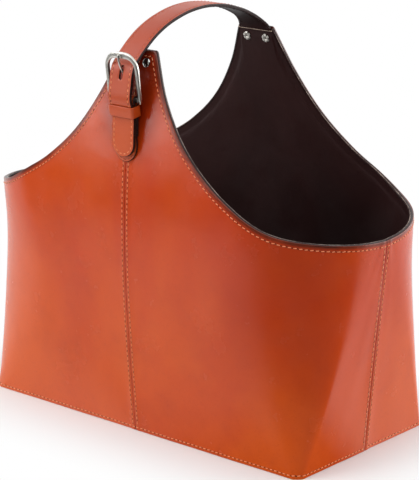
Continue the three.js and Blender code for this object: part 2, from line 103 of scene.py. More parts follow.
# Buckle, prong, chape, keeper and rivets.
HEEL = np.array([0, -104.007, 325.0])
HEEL_RADIUS = 2.2
FRAME_LEAN = math.radians(6.7)
FRAME_LENGTH = 41.0
STRAP_OVER_HEEL = 7.2
PRONG_RADIUS = 1.3
PRONG_EYE = 3.85
PRONG_ON_BAR = 3.2
PRONG_SHARES = (
    (0.24, -0.3), (0.44, -0.82), (0.54, -0.62), (0.64, 0),
    (0.75, 0.62), (0.86, 0.96), (0.95, 1.03), (1.04, 1.02),
)
CHAPE_LAYER = 1.9
CHAPE_HALF = 13.5
CHAPE_SLOT = (9.5, 2.8)
CHAPE_TIP = 266
FOLD_HEIGHT = 290.0
FOLD_RADIUS = 2.5
CHAPE_HEIGHTS = (291, 298, 306, 312, 317)
STRAP_ON_CHAPE = CHAPE_LAYER + GAP + STRAP_THICK / 2
KEEPER_HEIGHT = 314.5
KEEPER_WIDTH = 11.5
KEEPER_BAND = 1.3
KEEPER_BOW = 0.35
KEEPER_HALF = 5.15
KEEPER_LEAN = math.radians(8)
RIVET_HEIGHT = 357.0
RIVET_PLACES = (("left", -11.75), ("right", 11.75))

# Stitches.
STITCH_PITCH = 5.0
STITCH_SLANT = 7.0
THREAD_RISE = 0.5
RIM_STITCH = 5.0
SEAM_STITCH = 3.1
BASE_STITCH = 3.0
STRAP_STITCH = 3.1
TONGUE_STITCH = 2.9
CHAPE_STITCH = 2.2
FIRST_STITCH = 6

# Curves.


def quadratic(values, share):
    """Quadratic curve through three values at the shares 0, 0.5 and 1."""
    low, middle, high = values
    return (
        low * (1 - share) * (1 - 2 * share)
        + middle * 4 * share * (1 - share)
        + high * share * (2 * share - 1)
    )


def hermite(start, end, leave, arrive, t):
    """Smooth curve from start to end with the given slopes at both."""
    eased = start + (end - start) * t * t * (3 - 2 * t)
    return eased + leave * t * (1 - t) ** 2 + arrive * t * t * (t - 1)


def smooth(rows, place):
    """Smooth curve through rows of (place, value); place may be an array."""
    x, y = np.array(rows, float).T
    after = np.minimum(np.arange(len(x)) + 1, len(x) - 1)
    before = np.maximum(np.arange(len(x)) - 1, 0)
    slope = (y[after] - y[before]) / (x[after] - x[before])
    i = np.clip(np.searchsorted(x, place, side="right") - 1, 0, len(x) - 2)
    span = x[i + 1] - x[i]
    t = np.clip((place - x[i]) / span, 0, 1)
    return hermite(y[i], y[i + 1], span * slope[i], span * slope[i + 1], t)


def step(low, high, value):
    """Smooth step from 0 at low to 1 at high."""
    return hermite(0, 1, 0, 0, np.clip((value - low) / (high - low), 0, 1))


def unit(vectors):
    return vectors / np.linalg.norm(vectors, axis=-1, keepdims=True)


def turns(count):
    """Angles of evenly spaced places round a circle."""
    return np.arange(count) * 2 * math.pi / count


def circle(count, across, up):
    """Points round an oval with the given half axes."""
    angles = turns(count)[:, None]
    return np.cos(angles) * across + np.sin(angles) * up


def arc(x, y, radius, angles):
    """Points of a plane at angles round a centre."""
    return [(x + radius * math.cos(a), y + radius * math.sin(a)) for a in angles]


def way_along(points):
    """Length of the line up to each of its points."""
    return np.concatenate([[0], np.cumsum(np.linalg.norm(np.diff(points, axis=0), axis=1))])


def sample(place, way, rows):
    """Rows of numbers read at places along a way."""
    return np.stack([np.interp(place, way, axis) for axis in rows.T], -1)


def catmull(points, per_span=24):
    """Centripetal curve through points, sampled densely."""
    p = np.array(points, float)
    p = np.vstack([2 * p[0] - p[1], p, 2 * p[-1] - p[-2]])
    made = []
    for i in range(1, len(p) - 2):
        a, b, c, d = p[i - 1 : i + 3]
        d0, d1, d2 = (max(np.linalg.norm(v) ** 0.5, 1e-4) for v in (b - a, c - b, d - c))
        m0 = ((b - a) / d0 - (c - a) / (d0 + d1) + (c - b) / d1) * d1
        m1 = ((c - b) / d1 - (d - b) / (d1 + d2) + (d - c) / d2) * d1
        t = np.linspace(0, 1, per_span, endpoint=False)[:, None]
        made.append(hermite(b, c, m0, m1, t))
    return np.vstack([*made, p[-2]])


class Path:
    """A sampled curve that can be read by the length along it."""

    SPACING = 0.5

    def __init__(self, points, blur=0.0):
        points = np.array(points, float)
        way = way_along(points)
        even = np.linspace(0, way[-1], max(int(way[-1] / self.SPACING), 8) + 1)
        points = sample(even, way, points)
        if blur:
            points = self.blurred(points, blur)
        self.points = points
        self.way = way_along(points)
        self.length = self.way[-1]
        self.slopes = np.gradient(points, self.way, axis=0)

    def blurred(self, points, blur):
        """The points smoothed over a length, with the ends held in place."""
        reach = int(blur / self.SPACING * 3)
        weights = np.exp(-0.5 * (np.arange(-reach, reach + 1) * self.SPACING / blur) ** 2)
        weights /= weights.sum()
        before = 2 * points[0] - points[reach:0:-1]
        after = 2 * points[-1] - points[-2 : -reach - 2 : -1]
        padded = np.vstack([before, points, after])
        return np.stack([np.convolve(axis, weights, mode="valid") for axis in padded.T], 1)

    def at(self, way):
        return sample(way, self.way, self.points)

    def tangent(self, way):
        return unit(sample(way, self.way, self.slopes))

    def upward(self, way):
        """Direction square to a path in the YZ plane, out of a strap's upper face."""
        _, y, z = np.moveaxis(self.tangent(way), -1, 0)
        return np.stack([np.zeros_like(y), z, -y], -1)

    def nearest(self, point):
        """Way of the sample that lies nearest to a point."""
        far = np.linalg.norm(self.points - np.asarray(point, float), axis=1)
        return self.way[int(far.argmin())]


# The walls' surface.


def wall_at(height):
    """Half depth of the basket at a height."""
    return DEPTH / 2 * smooth(DEPTH_SHARES, height / EAR_HEIGHT)


def section_at(height, inset):
    """Half length, half depth and the two corner radii of the walls' plan at a height."""
    t = height / RIM_HEIGHT
    eased = t - (t - 1 + RIM_BLEND) ** 2 / (4 * RIM_BLEND)
    share = np.where(t < 1 - RIM_BLEND, t, np.where(t > 1 + RIM_BLEND, 1, eased))
    half_length = quadratic(LENGTHS, share) / 2 - inset
    half_depth = wall_at(height) - inset
    corner_long = np.minimum(quadratic(CORNERS_LONG, share) - inset, half_length * 0.97)
    corner_deep = np.minimum(quadratic(CORNERS_DEEP, share) - inset, half_depth * 0.97)
    return half_length, half_depth, corner_long, corner_deep


def wall(column, height, inset=0.0):
    """Point of the front wall at an inset from its plain outer face."""
    column, height, inset = np.broadcast_arrays(column, height, inset)
    half_length, half_depth, corner_long, corner_deep = section_at(height, inset)
    side, along = np.sign(column), np.abs(column)
    front_half, end_half = half_length - corner_long, half_depth - corner_deep
    turn = (np.clip(along, 1, 2) - 1) * math.pi / 2
    x = np.where(along <= 1, along * front_half, front_half + corner_long * np.sin(turn))
    y = np.where(along >= 2, -end_half * (3 - along), -end_half - corner_deep * np.cos(turn))
    return np.stack([side * x, y, height], -1)


def wall_normal(column, height):
    """Outward direction of the front wall's face."""
    across = wall(column + 0.004, height) - wall(column - 0.004, height)
    upward = wall(column, height + 0.5) - wall(column, height - 0.5)
    return unit(np.cross(across, upward))


dense = np.linspace(0, 3, 1801)
dense_way = way_along(wall(dense, RIM_HEIGHT))
EAR_COLUMN = EAR_HALF / (LENGTHS[2] / 2 - CORNERS_LONG[2])
EAR_WAY = float(np.interp(EAR_COLUMN, dense, dense_way))
END_WAY = float(dense_way[-1])


def column_at(way):
    """Column of a place along the rim's plan, from the middle of the front."""
    return np.interp(way, dense_way, dense)


def both_sides(columns):
    """Columns from the middle to one end, continued to the other end."""
    return np.concatenate([-columns[:0:-1], columns])


def one_side(columns, side):
    """Columns from the middle to the right end, or from the left end to the middle."""
    return columns if side > 0 else -columns[::-1]


def rim_height(column):
    """Height of the rim, with the ear's corner slightly rounded."""
    way = np.interp(np.abs(column), dense, dense_way)
    share = (way - EAR_WAY) / (END_WAY - EAR_WAY)
    steep = (RIM_SHARES[0][1] - RIM_SHARES[1][1]) / RIM_SHARES[1][0]
    fall = np.where(share < 0, 1 - share * steep, smooth(RIM_SHARES, share))
    fall = RIM_HEIGHT + (EAR_HEIGHT - RIM_HEIGHT) * fall
    apart = np.maximum(EAR_ROUNDING - np.abs(fall - EAR_HEIGHT), 0)
    return np.minimum(fall, EAR_HEIGHT) - apart**2 / (4 * EAR_ROUNDING)


def rim_slope(column, near=0.002):
    """Rise of the rim for one column."""
    return (rim_height(column + near) - rim_height(column - near)) / (2 * near)


def below_rim(column, distance):
    """(column, height) of points on the wall at a distance from the rim, square to it."""
    height = rim_height(column)
    e, h = 0.002, 0.25
    along = (wall(column + e, height) - wall(column - e, height)) / (2 * e)
    up = (wall(column, height + h) - wall(column, height - h)) / (2 * h)
    run = along + up * rim_slope(column)[..., None]
    a = (run * up).sum(-1)
    b = -(run * along).sum(-1)
    way = along * a[..., None] + up * b[..., None]
    scale = distance / np.linalg.norm(way, axis=-1)
    scale = np.where(b > 0, -scale, scale)
    return column + a * scale, height + b * scale


def rim_distance(column, height):
    """Distance to the rim over the wall, roughly square to it."""
    e = 0.002
    across = np.linalg.norm(wall(column + e, height) - wall(column - e, height), axis=-1)
    slope = rim_slope(column) / np.maximum(across / (2 * e), 1e-6)
    return (rim_height(column) - height) / np.sqrt(1 + slope**2)


# Meshes.

scene = bpy.context.scene
scene.view_settings.view_transform = "Standard"


def in_scene(name, data):
    """New object with the given data, placed in the scene."""
    made = bpy.data.objects.new(name, data)
    scene.collection.objects.link(made)
    return made


def add_object(name, vertices, faces, materials, replaced=None, body="basket", angle=38,
               face_materials=None):
    """Clean mesh object that rides on a body.

    replaced is the solid that it stands for. Edges sharper than the angle stay sharp.
    """
    mesh = bpy.data.meshes.new(name)
    mesh.from_pydata((np.asarray(vertices, float) * MM).tolist(), [], faces)
    for material in materials:
        mesh.materials.append(material)
    if face_materials is not None:
        mesh.polygons.foreach_set("material_index", np.asarray(face_materials, np.int32))
    clean = bmesh.new()
    clean.from_mesh(mesh)
    bmesh.ops.remove_doubles(clean, verts=clean.verts, dist=1e-7)
    bmesh.ops.dissolve_degenerate(clean, edges=clean.edges, dist=1e-7)
    bmesh.ops.recalc_face_normals(clean, faces=clean.faces)
    clean.to_mesh(mesh)
    clean.free()
    mesh.shade_smooth()
    mesh.set_sharp_from_angle(angle=math.radians(angle))
    made = in_scene(name, mesh)
    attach(made, body)
    if replaced:
        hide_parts(replaced)
    return made


def grid_faces(rows, columns, start=0, loop_rows=False, loop_columns=False):
    """Faces of a grid of points that are numbered row by row."""
    faces = []
    for r in range(rows if loop_rows else rows - 1):
        a, b = start + r * columns, start + (r + 1) % rows * columns
        for c in range(columns if loop_columns else columns - 1):
            d = (c + 1) % columns
            faces.append((a + c, a + d, b + d, b + c))
    return faces


def bridge(pairs, start, size):
    """Faces between two equal layers of points, over pairs of neighbours in the first."""
    return [(start + a, start + b, start + b + size, start + a + size) for a, b in pairs]


def sheet_faces(rows, columns, start=0):
    """Faces of two equal grids of points that are joined all round."""
    size = rows * columns
    ring = [
        *range(columns),
        *range(2 * columns - 1, size, columns),
        *range(size - 2, size - columns - 1, -1),
        *range(size - 2 * columns, 0, -columns),
    ]
    faces = grid_faces(rows, columns, start) + grid_faces(rows, columns, start + size)
    return faces + bridge(zip(ring, ring[1:] + ring[:1]), start, size)


def tube(rings, closed=False, start=0):
    """Points and faces of a closed solid through rings of points."""
    rings = np.asarray(rings, float)
    count, around = rings.shape[:2]
    faces = grid_faces(count, around, start, loop_rows=closed, loop_columns=True)
    if not closed:
        faces.append(tuple(start + i for i in reversed(range(around))))
        faces.append(tuple(start + (count - 1) * around + i for i in range(around)))
    return rings.reshape(-1, 3), faces


def superellipse(count, power):
    """Points round an oval that is squarer for a smaller power."""
    c, s = np.cos(turns(count)), np.sin(turns(count))
    return np.sign(c) * np.abs(c) ** power, np.sign(s) * np.abs(s) ** power


# Materials.


class Build:
    """Short calls for the nodes of a material or a world."""

    def __init__(self, owner):
        owner.use_nodes = True
        self.tree = owner.node_tree
        self.tree.nodes.clear()
        self.place = self.node("ShaderNodeTexCoord").outputs["Object"]

    def node(self, kind, **inputs):
        """New node with its inputs set. An underscore in a name stands for a space."""
        made = self.tree.nodes.new(kind)
        for name, value in inputs.items():
            self.feed(made.inputs[name.replace("_", " ")], value)
        return made

    def surface(self, shader, out="ShaderNodeOutputMaterial"):
        self.feed(self.node(out).inputs[0], shader.outputs[0])

    def principled(self, **inputs):
        return self.node("ShaderNodeBsdfPrincipled", **inputs)

    def feed(self, socket, value):
        if isinstance(value, bpy.types.NodeSocket):
            self.tree.links.new(value, socket)
        else:
            socket.default_value = value

    def noise(self, scale, detail, rough, stretch=None, warp=0.0):
        place = self.place
        if stretch:
            place = self.node("ShaderNodeMapping", Vector=place, Scale=stretch).outputs[0]
        return self.node(
            "ShaderNodeTexNoise",
            Vector=place, Scale=scale, Detail=detail, Roughness=rough, Distortion=warp,
        ).outputs[0]

    def cells(self, scale):
        node = self.node("ShaderNodeTexVoronoi", Scale=scale, Vector=self.place)
        node.feature = "DISTANCE_TO_EDGE"
        return node.outputs[0]

    def attribute(self, name):
        node = self.node("ShaderNodeAttribute")
        node.attribute_name = name
        return node.outputs["Fac"]

    def along(self, axis, direction=None):
        return self.node("ShaderNodeSeparateXYZ", Vector=direction or self.place).outputs[axis]

    def vector(self, operation, direction, fixed):
        """Distance or dot product of a vector and a fixed one."""
        node = self.node("ShaderNodeVectorMath")
        node.operation = operation
        self.feed(node.inputs[0], direction)
        self.feed(node.inputs[1], fixed)
        return node.outputs["Value"]

    def math(self, operation, a, b=0.0):
        node = self.node("ShaderNodeMath")
        node.operation = operation
        self.feed(node.inputs[0], a)
        self.feed(node.inputs[1], b)
        return node.outputs[0]

    def times(self, a, b):
        return self.math("MULTIPLY", a, b)

    def plus(self, a, b):
        return self.math("ADD", a, b)

    def minus(self, a, b):
        return self.math("SUBTRACT", a, b)

    def larger(self, a, b):
        return self.math("MAXIMUM", a, b)

    def apart(self, axis):
        """Distance from the middle plane along an axis."""
        return self.math("ABSOLUTE", self.along(axis))

    def span(self, value, low, high, to_low=0.0, to_high=1.0):
        """Smooth step of a value from to_low at low to to_high at high."""
        node = self.node(
            "ShaderNodeMapRange",
            Value=value, From_Min=low, From_Max=high, To_Min=to_low, To_Max=to_high,
        )
        node.interpolation_type = "SMOOTHSTEP"
        return node.outputs[0]

    def mix(self, factor, a, b):
        node = self.node("ShaderNodeMix")
        node.data_type = "RGBA"
        self.feed(node.inputs["Factor"], factor)
        first, second = [s for s in node.inputs if s.type == "RGBA"]
        self.feed(first, a)
        self.feed(second, b)
        return [s for s in node.outputs if s.type == "RGBA"][0]

    def bump(self, height, strength, distance, below=None):
        node = self.node("ShaderNodeBump", Height=height, Strength=strength, Distance=distance)
        if below is not None:
            self.feed(node.inputs["Normal"], below)
        return node.outputs[0]


def rgb(red, green, blue):
    """Colour as it looks on screen, 0 to 255, as the linear value that the shader takes."""

    def linear(value):
        value /= 255
        return value / 12.92 if value <= 0.04045 else ((value + 0.055) / 1.055) ** 2.4

    return (linear(red), linear(green), linear(blue), 1.0)


def dye_and_shade(b, light, middle, deep, tone_and_shade_heights):
    """Cloudy colour that changes with height, partly as painted shade, with painted shade at the
    right front corner.
    """
    cloud = b.noise(6.5, 4, 0.55, stretch=(1, 1, 0.6), warp=0.6)
    clouded = b.times(b.span(cloud, 0.3, 0.7), 0.5)
    # Deeper colour between the given heights, partly the leather's own tone and partly painted
    # shade: up the walls and the strap, and down towards the lining's floor.
    cloud_and_height_shade = b.plus(clouded, b.span(b.along("Z"), *tone_and_shade_heights, 0.0, 0.5))
    # Painted shade at the right front corner.
    corner = b.times(b.span(b.along("X"), 0.04, 0.17), b.span(b.along("Y"), -0.085, -0.03, 1, 0))
    corner = b.times(corner, b.span(b.along("Z"), 0.0, 0.13, 0.0, 0.28))
    return b.mix(corner, b.mix(cloud_and_height_shade, light, middle), deep)


def strap_shadow(b, colour):
    """Painted shadow of the strap and buckle on the leather beside the strap, strongest on the
    front ear.
    """
    near = b.times(
        b.span(b.apart("X"), 0.016, 0.046, 1, 0), b.span(b.along("Y"), -0.03, 0.03, 1, 0.2)
    )
    near = b.times(near, b.span(b.along("Z"), 0.262, 0.318, 0, 0.8))
    # rgb(108, 14, 2) is the colour of the painted shadow beside the strap.
    return b.mix(near, colour, rgb(108, 14, 2))


def burnish_and_groove_shade(b, colour, deep):
    """Leather with a darker burnish along the rim and the seams, a burnt edge, and a darker line
    along the rim's stitches, partly painted shade of a stitch groove.
    """
    rim, seam = b.attribute("rim_mm"), b.attribute("seam_mm")
    wear = b.noise(55, 3, 0.6)
    rim_dark = b.times(b.span(rim, 0.0, 9.0, 1, 0), b.span(wear, 0.25, 0.7))
    seam_dark = b.times(b.span(seam, 0.2, 3.6, 1, 0), b.span(wear, 0.1, 0.8, 0.3, 0.9))
    # Darker line along the rim's stitches: partly painted shade of a stitch groove.
    line = b.span(b.math("ABSOLUTE", b.minus(rim, RIM_STITCH)), 0.1, 0.9, 1, 0)
    marks = b.larger(b.times(rim_dark, 0.8), b.times(seam_dark, 0.6))
    colour = b.mix(b.larger(marks, b.times(line, 0.5)), colour, deep)
    burnt = b.times(b.span(rim, 1.3, 4.4, 1, 0), b.span(wear, 0.2, 0.8, 0.6, 0.9))
    return b.mix(burnt, colour, rgb(86, 36, 18))


def leather_material(name, light, middle, deep, gloss, rough, tone_and_shade_heights, edges_and_strap_shadow=False, grain=1.0,
                     coat=0.0):
    """Smooth finished leather with fine pores and grain. Only leather that asks for them has worn
    edges, a painted shade along the rim's stitches and a painted shadow beside the strap.
    """
    material = bpy.data.materials.new(name)
    b = Build(material)
    colour = dye_and_shade(b, light, middle, deep, tone_and_shade_heights)
    if edges_and_strap_shadow:
        colour = strap_shadow(b, colour)
    blotch = b.noise(19, 5, 0.62, warp=0.2)
    colour = b.mix(b.times(b.span(blotch, 0.4, 0.8), 0.22), colour, deep)
    pores = b.noise(420, 3, 0.65)
    colour = b.mix(b.times(b.span(pores, 0.52, 0.75), 0.16), colour, deep)
    if edges_and_strap_shadow:
        colour = burnish_and_groove_shade(b, colour, deep)
    wave = b.bump(b.noise(38, 3, 0.5), 0.10 * grain, 0.004)
    pebble = b.bump(b.cells(760), 0.14 * grain, 0.0004, wave)
    shader = b.principled(
        Base_Color=colour,
        Roughness=b.span(b.noise(34, 4, 0.6), 0.3, 0.7, *rough),
        Specular_IOR_Level=gloss,
        Coat_Weight=coat,
        Coat_Roughness=0.42,
        Normal=b.bump(pores, 0.10 * grain, 0.0004, pebble),
    )
    b.surface(shader)
    return material


def plain_material(name, light, dark, scale, rough, gloss=0.4, bump=0.2, bump_size=0.0005):
    """Dull material of two close colours with a grain of one scale."""
    material = bpy.data.materials.new(name)
    b = Build(material)
    grain = b.noise(scale, 4, 0.6)
    shader = b.principled(
        Base_Color=b.mix(b.span(grain, 0.35, 0.65), light, dark),
        Roughness=b.span(grain, 0.3, 0.7, *rough),
        Specular_IOR_Level=gloss,
        Normal=b.bump(grain, bump, bump_size),
    )
    b.surface(shader)
    return material


def thread_material(name, light, dark, rough=(0.45, 0.6)):
    return plain_material(name, light, dark, 1500, rough, bump=0.5, bump_size=0.0002)


def metal_material(name, colour, dull, rough, metallic=1.0):
    """Plated metal with a faint haze and fine scratches."""
    material = bpy.data.materials.new(name)
    b = Build(material)
    haze = b.noise(160, 4, 0.6)
    shader = b.principled(
        Base_Color=b.mix(b.span(haze, 0.45, 0.75), colour, dull),
        Roughness=b.span(haze, 0.35, 0.75, *rough),
        Metallic=metallic,
        Normal=b.bump(b.noise(900, 2, 0.5, stretch=(0.12, 1, 1)), 0.04, 0.0002),
    )
    b.surface(shader)
    return material


TAN_DEEP, DARK_DEEP = rgb(146, 32, 2), rgb(24, 11, 11)
# Each leather's heights where its colour deepens, partly as painted shade.
tan = leather_material(
    "tan_leather", rgb(210, 86, 16), rgb(184, 51, 3), TAN_DEEP,
    gloss=0.42, rough=(0.2, 0.28), tone_and_shade_heights=(0.02, 0.24), edges_and_strap_shadow=True,
)
strap_tan = leather_material(
    "tan_strap_leather", rgb(200, 80, 17), rgb(154, 45, 7), TAN_DEEP,
    gloss=0.45, rough=(0.34, 0.46), tone_and_shade_heights=(0.29, 0.38), coat=0.22,
)
dark = leather_material(
    "dark_lining_leather", rgb(54, 27, 26), DARK_DEEP, DARK_DEEP,
    gloss=0.2, rough=(0.45, 0.6), tone_and_shade_heights=(0.3, 0.1), grain=1.6,
)
edge = plain_material(
    "painted_edge", rgb(52, 32, 31), rgb(34, 20, 19), 260, (0.2, 0.32), gloss=0.15, bump=0.25
)
# Light cut edge of the back lining's top, partly a painted highlight where it catches light.
raw_edge_and_highlight = plain_material("cut_edge_and_highlight", rgb(206, 184, 166), rgb(158, 132, 114), 700, (0.6, 0.8))
# Light line at the rim's inner corner: the lining's cut edge, partly a painted highlight.
inner_edge_and_highlight = plain_material("inner_edge_and_highlight", rgb(180, 160, 148), rgb(74, 54, 49), 70, (0.5, 0.7))
board = plain_material(
    "fibreboard", rgb(172, 148, 116), rgb(140, 116, 88), 500, (0.8, 0.95), gloss=0.2
)
thread = thread_material("waxed_thread", rgb(240, 158, 112), rgb(214, 122, 76))
strap_thread = thread_material("strap_thread", rgb(206, 104, 64), rgb(176, 78, 44))
dark_thread = thread_material("dark_thread", rgb(74, 48, 44), rgb(48, 28, 27), (0.5, 0.65))
# Painted shade of the needle holes, on the dark discs at the stitches' ends.
needle_hole_shade = plain_material(
    "needle_hole_shade", rgb(70, 22, 10), rgb(46, 14, 8), 1500, (0.8, 0.9), gloss=0.1
)
nickel = metal_material("polished_nickel", rgb(218, 216, 208), rgb(194, 191, 184), (0.3, 0.4))
rivet_nickel = metal_material(
    "rivet_nickel", rgb(232, 228, 220), rgb(206, 200, 192), (0.32, 0.42), 0.5
)
dome_nickel = metal_material(
    "domed_rivet_nickel", rgb(214, 211, 204), rgb(184, 180, 172), (0.07, 0.14)
)

# The walls' pieces. Rows and columns lie closer at the edges and seams.

TOP_STEPS = (1.0, 2.0, 3.2, 4.6, 6.0, 7.5, 9.0, 10.5, 12.0, 14.0, 16.5, 19.5, 23.0)
FOOT_STEPS = (0.7, 1.6, 2.8, 4.2, 6.5, 9.5)
SEAM_STEPS = (0.0, 0.12, 0.35, 0.7, 1.1, 1.6, 2.3, 3.2, 4.4, 5.8)
EAR_STEPS = (-3, -1.8, -1.0, -0.4, 0.1, 0.6, 1.1, 1.7, 2.5, 3.6, 5.0)
COLUMN_SPACING = 3.0
MIDDLE_ROWS = 44
TOP_LIP = 0.35


def panel_columns():
    """Columns from the middle of the front to the middle of the end."""
    seam = np.array(SEAM_STEPS)
    marks = np.concatenate([seam, EAR_WAY + np.array(EAR_STEPS), END_WAY - seam])
    regular = np.arange(COLUMN_SPACING, END_WAY, COLUMN_SPACING)
    far = np.abs(regular[:, None] - marks[None, :]).min(1) > COLUMN_SPACING * 0.45
    return column_at(np.unique(np.concatenate([marks, regular[far]])))


def column_rows(foot, top):
    """Heights up one column, from the foot to the top."""
    low = foot + np.concatenate([[0], FOOT_STEPS])
    high = top - np.array(TOP_STEPS[::-1])
    between = np.linspace(low[-1], high[0], MIDDLE_ROWS + 1)[1:-1]
    return np.concatenate([low, between, high, [top]])


def dents(column, height):
    """Slow unevenness of the leather over the board."""
    broad = np.sin(column * 5.1 + height / 41) * np.sin(height / 57 + 1.3)
    return 0.28 * broad + 0.18 * np.sin(column * 11.7 - height / 29)


def seam_distance(points):
    """Distance along X to the front seam or along Y to the end seam."""
    return np.minimum(np.abs(points[..., 0]), np.abs(points[..., 1]))


def outer_inset(column, height):
    """Inset of the leather's face, which is raised beside the seams and turned in at them."""
    away = seam_distance(wall(column, height))
    turn = 0.75
    turned = turn - np.sqrt(np.maximum(turn**2 - np.maximum(turn - away, 0) ** 2, 0))
    raised = 0.4 * (1 - step(4.2, 7.5, away))
    return turned - raised - dents(column, height)


def lining_face(column, height):
    """Inset of the lining's inner face, pressed closer to the leather above the hem line."""
    away = rim_distance(column, height)
    fold = 0.75 * (1 - step(8.4, 9.8, away))
    crease = 0.3 * np.exp(-(((away - 10.2) / 0.8) ** 2))
    return WALL - fold - crease


def even_inset(inset):
    """The same inset all over the wall."""
    return lambda column, height: np.full(np.shape(height), inset)


def rounded_lip(column, top, front, back):
    """Four points over the top of a sheet, from its front inset to its back inset."""
    heights = np.array([top - 0.1, top, top, top - 0.1])
    insets = np.array([front + 0.1, front + TOP_LIP, back - 0.3, back - 0.08])
    return wall(np.full(4, column), heights, insets)


def sheet_piece(name, replaced, columns, foot, insets, material, drop, facing, limit=np.inf,
                rounded=True):
    """A closed curved sheet of the wall between two insets that take (column, height)."""
    layers = []
    for column in columns:
        top = min(float(rim_height(column)) - drop, limit)
        rows = column_rows(foot, top - TOP_LIP)
        places = np.full(len(rows), column)
        front, back = (inset(places, rows) for inset in insets)
        face, behind = wall(places, rows, front), wall(places, rows, back)
        if rounded:
            lip = rounded_lip(column, top, front[-1], back[-1])
            face, behind = np.vstack([face, lip[:2]]), np.vstack([behind, lip[:1:-1]])
        layers.append((face, behind))
    points = np.array(layers).swapaxes(0, 1) * facing
    faces = sheet_faces(*points.shape[1:3])
    return add_object(name, points.reshape(-1, 3), faces, [material], replaced)


def mark_wall(mesh):
    """Stores each point's distances to the rim and to the seams for the leather's shading."""
    co = np.array([vertex.co for vertex in mesh.vertices]) / MM
    turned = co * np.where(co[:, 1:2] > 0, BACK, FRONT)
    columns = np.linspace(0, 3, 601)
    near = np.zeros(len(co))
    heights = np.round(turned[:, 2] / 4) * 4
    for height in np.unique(heights):
        rows = heights == height
        line = wall(columns, height)
        angle = np.arctan2(-turned[rows, 1], np.abs(turned[rows, 0]))
        line_angle = np.arctan2(-line[:, 1], line[:, 0])
        near[rows] = np.interp(angle, line_angle[::-1], columns[::-1])
    distances = {"rim_mm": rim_distance(near, turned[:, 2]), "seam_mm": seam_distance(co)}
    for name, values in distances.items():
        attribute = mesh.attributes.new(name, "FLOAT", "POINT")
        attribute.data.foreach_set("value", values.astype(np.float32))


quarter = panel_columns()
wall_columns = both_sides(quarter)
for wall_name, facing in (("front", FRONT), ("back", BACK)):
    for side in (1, -1):
        key = f"{wall_name}_{'right' if side * facing[0] > 0 else 'left'}"
        leather = sheet_piece(
            f"{key}_outer_leather", f"{key}_leather_panel", one_side(quarter, side), 0.0,
            (outer_inset, even_inset(LEATHER)), tan, 0.0, facing,
        )
        mark_wall(leather.data)
        sheet_piece(
            f"{key}_wall_board", f"{key}_stiffener_board", one_side(quarter[::3], side),
            BOARD_FOOT, [even_inset(face) for face in BOARD_FACES], board, BOARD_DROP, facing,
            BACK_BOARD_TOP if facing is BACK else np.inf, rounded=False,
        )
for wall_name, facing, limit in (("front", FRONT, np.inf), ("back", BACK, BACK_LINING_TOP)):
    sheet_piece(
        f"{wall_name}_inner_lining", f"{wall_name}_lining", wall_columns, LINING_FOOT,
        (even_inset(LINING_INSET), lining_face), dark, LINING_DROP, facing, limit,
    )

# The rim's painted edge. Profiles are (out of the wall, up from the edge).

RIM_PROFILE = (
    (-0.4, -1.2), (-0.22, -0.7), (-0.42, -0.25), (-0.85, 0.1), (-1.4, 0.36), (-2.0, 0.5),
    (-2.6, 0.5), (-3.2, 0.34), (-3.8, 0.02), (-4.25, -0.4), (-4.5, -0.9), (-4.5, -1.5),
    (-3.9, -1.7), (-2.2, -1.5),
)
# Profile of the light line at the rim's inner corner, partly a painted highlight.
INNER_EDGE_AND_HIGHLIGHT = ((-3.15, 0.1), (-3.2, 0.5), (-3.45, 0.6), (-3.75, 0.44), (-3.85, -0.1))
LEATHER_EDGE = (
    (-0.4, -0.5), (-0.25, 0.0), (-0.5, 0.25), (-1.1, 0.36), (-1.65, 0.22), (-1.95, -0.1),
    (-1.9, -0.6),
)
LINING_EDGE = ((-0.75, -0.5), (-0.78, 0.2), (-0.45, 0.5), (0.2, 0.52), (0.52, 0.25), (0.5, -0.4))


def rim_line(columns, facing, inset=0.0, height=None):
    """Points of the rim, or of a level line on the wall, and the directions out of the wall."""
    tops = rim_height(columns) if height is None else np.full(len(columns), height)
    return wall(columns, tops, inset) * facing, wall_normal(columns, tops) * facing


def bead(name, line, profile, material):
    """Sweeps a profile along a line of (points, normals)."""
    points, normals = line
    tangents = unit(np.gradient(points, axis=0))
    ups = unit(np.cross(tangents, normals))
    ups *= np.sign(ups[:, 2:3] + 1e-9)
    outs = np.cross(ups, tangents)
    outs *= np.sign((outs * normals).sum(1, keepdims=True))
    rings = np.stack([points + outs * out + ups * up for out, up in profile], 1)
    vertices, faces = tube(rings)
    add_object(name, vertices, faces, [material], angle=50)


fine_ways = np.arange(EAR_WAY + 0.2, EAR_WAY + 8, 0.45)
rim_columns = column_at([*fine_ways, *np.arange(EAR_WAY + 8, END_WAY, 2.0), END_WAY])
fine_ways = np.arange(EAR_WAY - 5, EAR_WAY + 0.2, 0.45)
top_columns = column_at([*np.arange(0, EAR_WAY - 5, 2.0), *fine_ways])
front_columns = both_sides(np.concatenate([top_columns, rim_columns]))[::-1]
runs = (
    rim_line(-rim_columns, BACK),
    rim_line(front_columns[1:-1], FRONT),
    rim_line(rim_columns[::-1], BACK),
)
whole_rim = [np.vstack(parts) for parts in zip(*runs)]
bead("painted_rim_edge", whole_rim, RIM_PROFILE, edge)
# Light line along the lining's side of the rim, partly a painted highlight.
bead("lining_edge_and_highlight", whole_rim, INNER_EDGE_AND_HIGHLIGHT, inner_edge_and_highlight)
ear_top = np.linspace(-EAR_COLUMN, EAR_COLUMN, 41)
bead("painted_back_ear_edge", rim_line(ear_top, BACK), LEATHER_EDGE, edge)
lining_top = rim_line(ear_top * 1.02, BACK, 4.5, BACK_LINING_TOP)
# The back lining's light top edge, partly a painted highlight.
bead("back_lining_cut_edge", lining_top, LINING_EDGE, raw_edge_and_highlight)

# The base.


def level(places):
    return np.zeros(len(places))


def uneven(places):
    """Slow unevenness of the floor lining."""
    x, y = places.T
    return 0.35 * np.sin(x / 47 + 0.4) * np.cos(y / 31) + 0.2 * np.sin(x / 23 - y / 37)


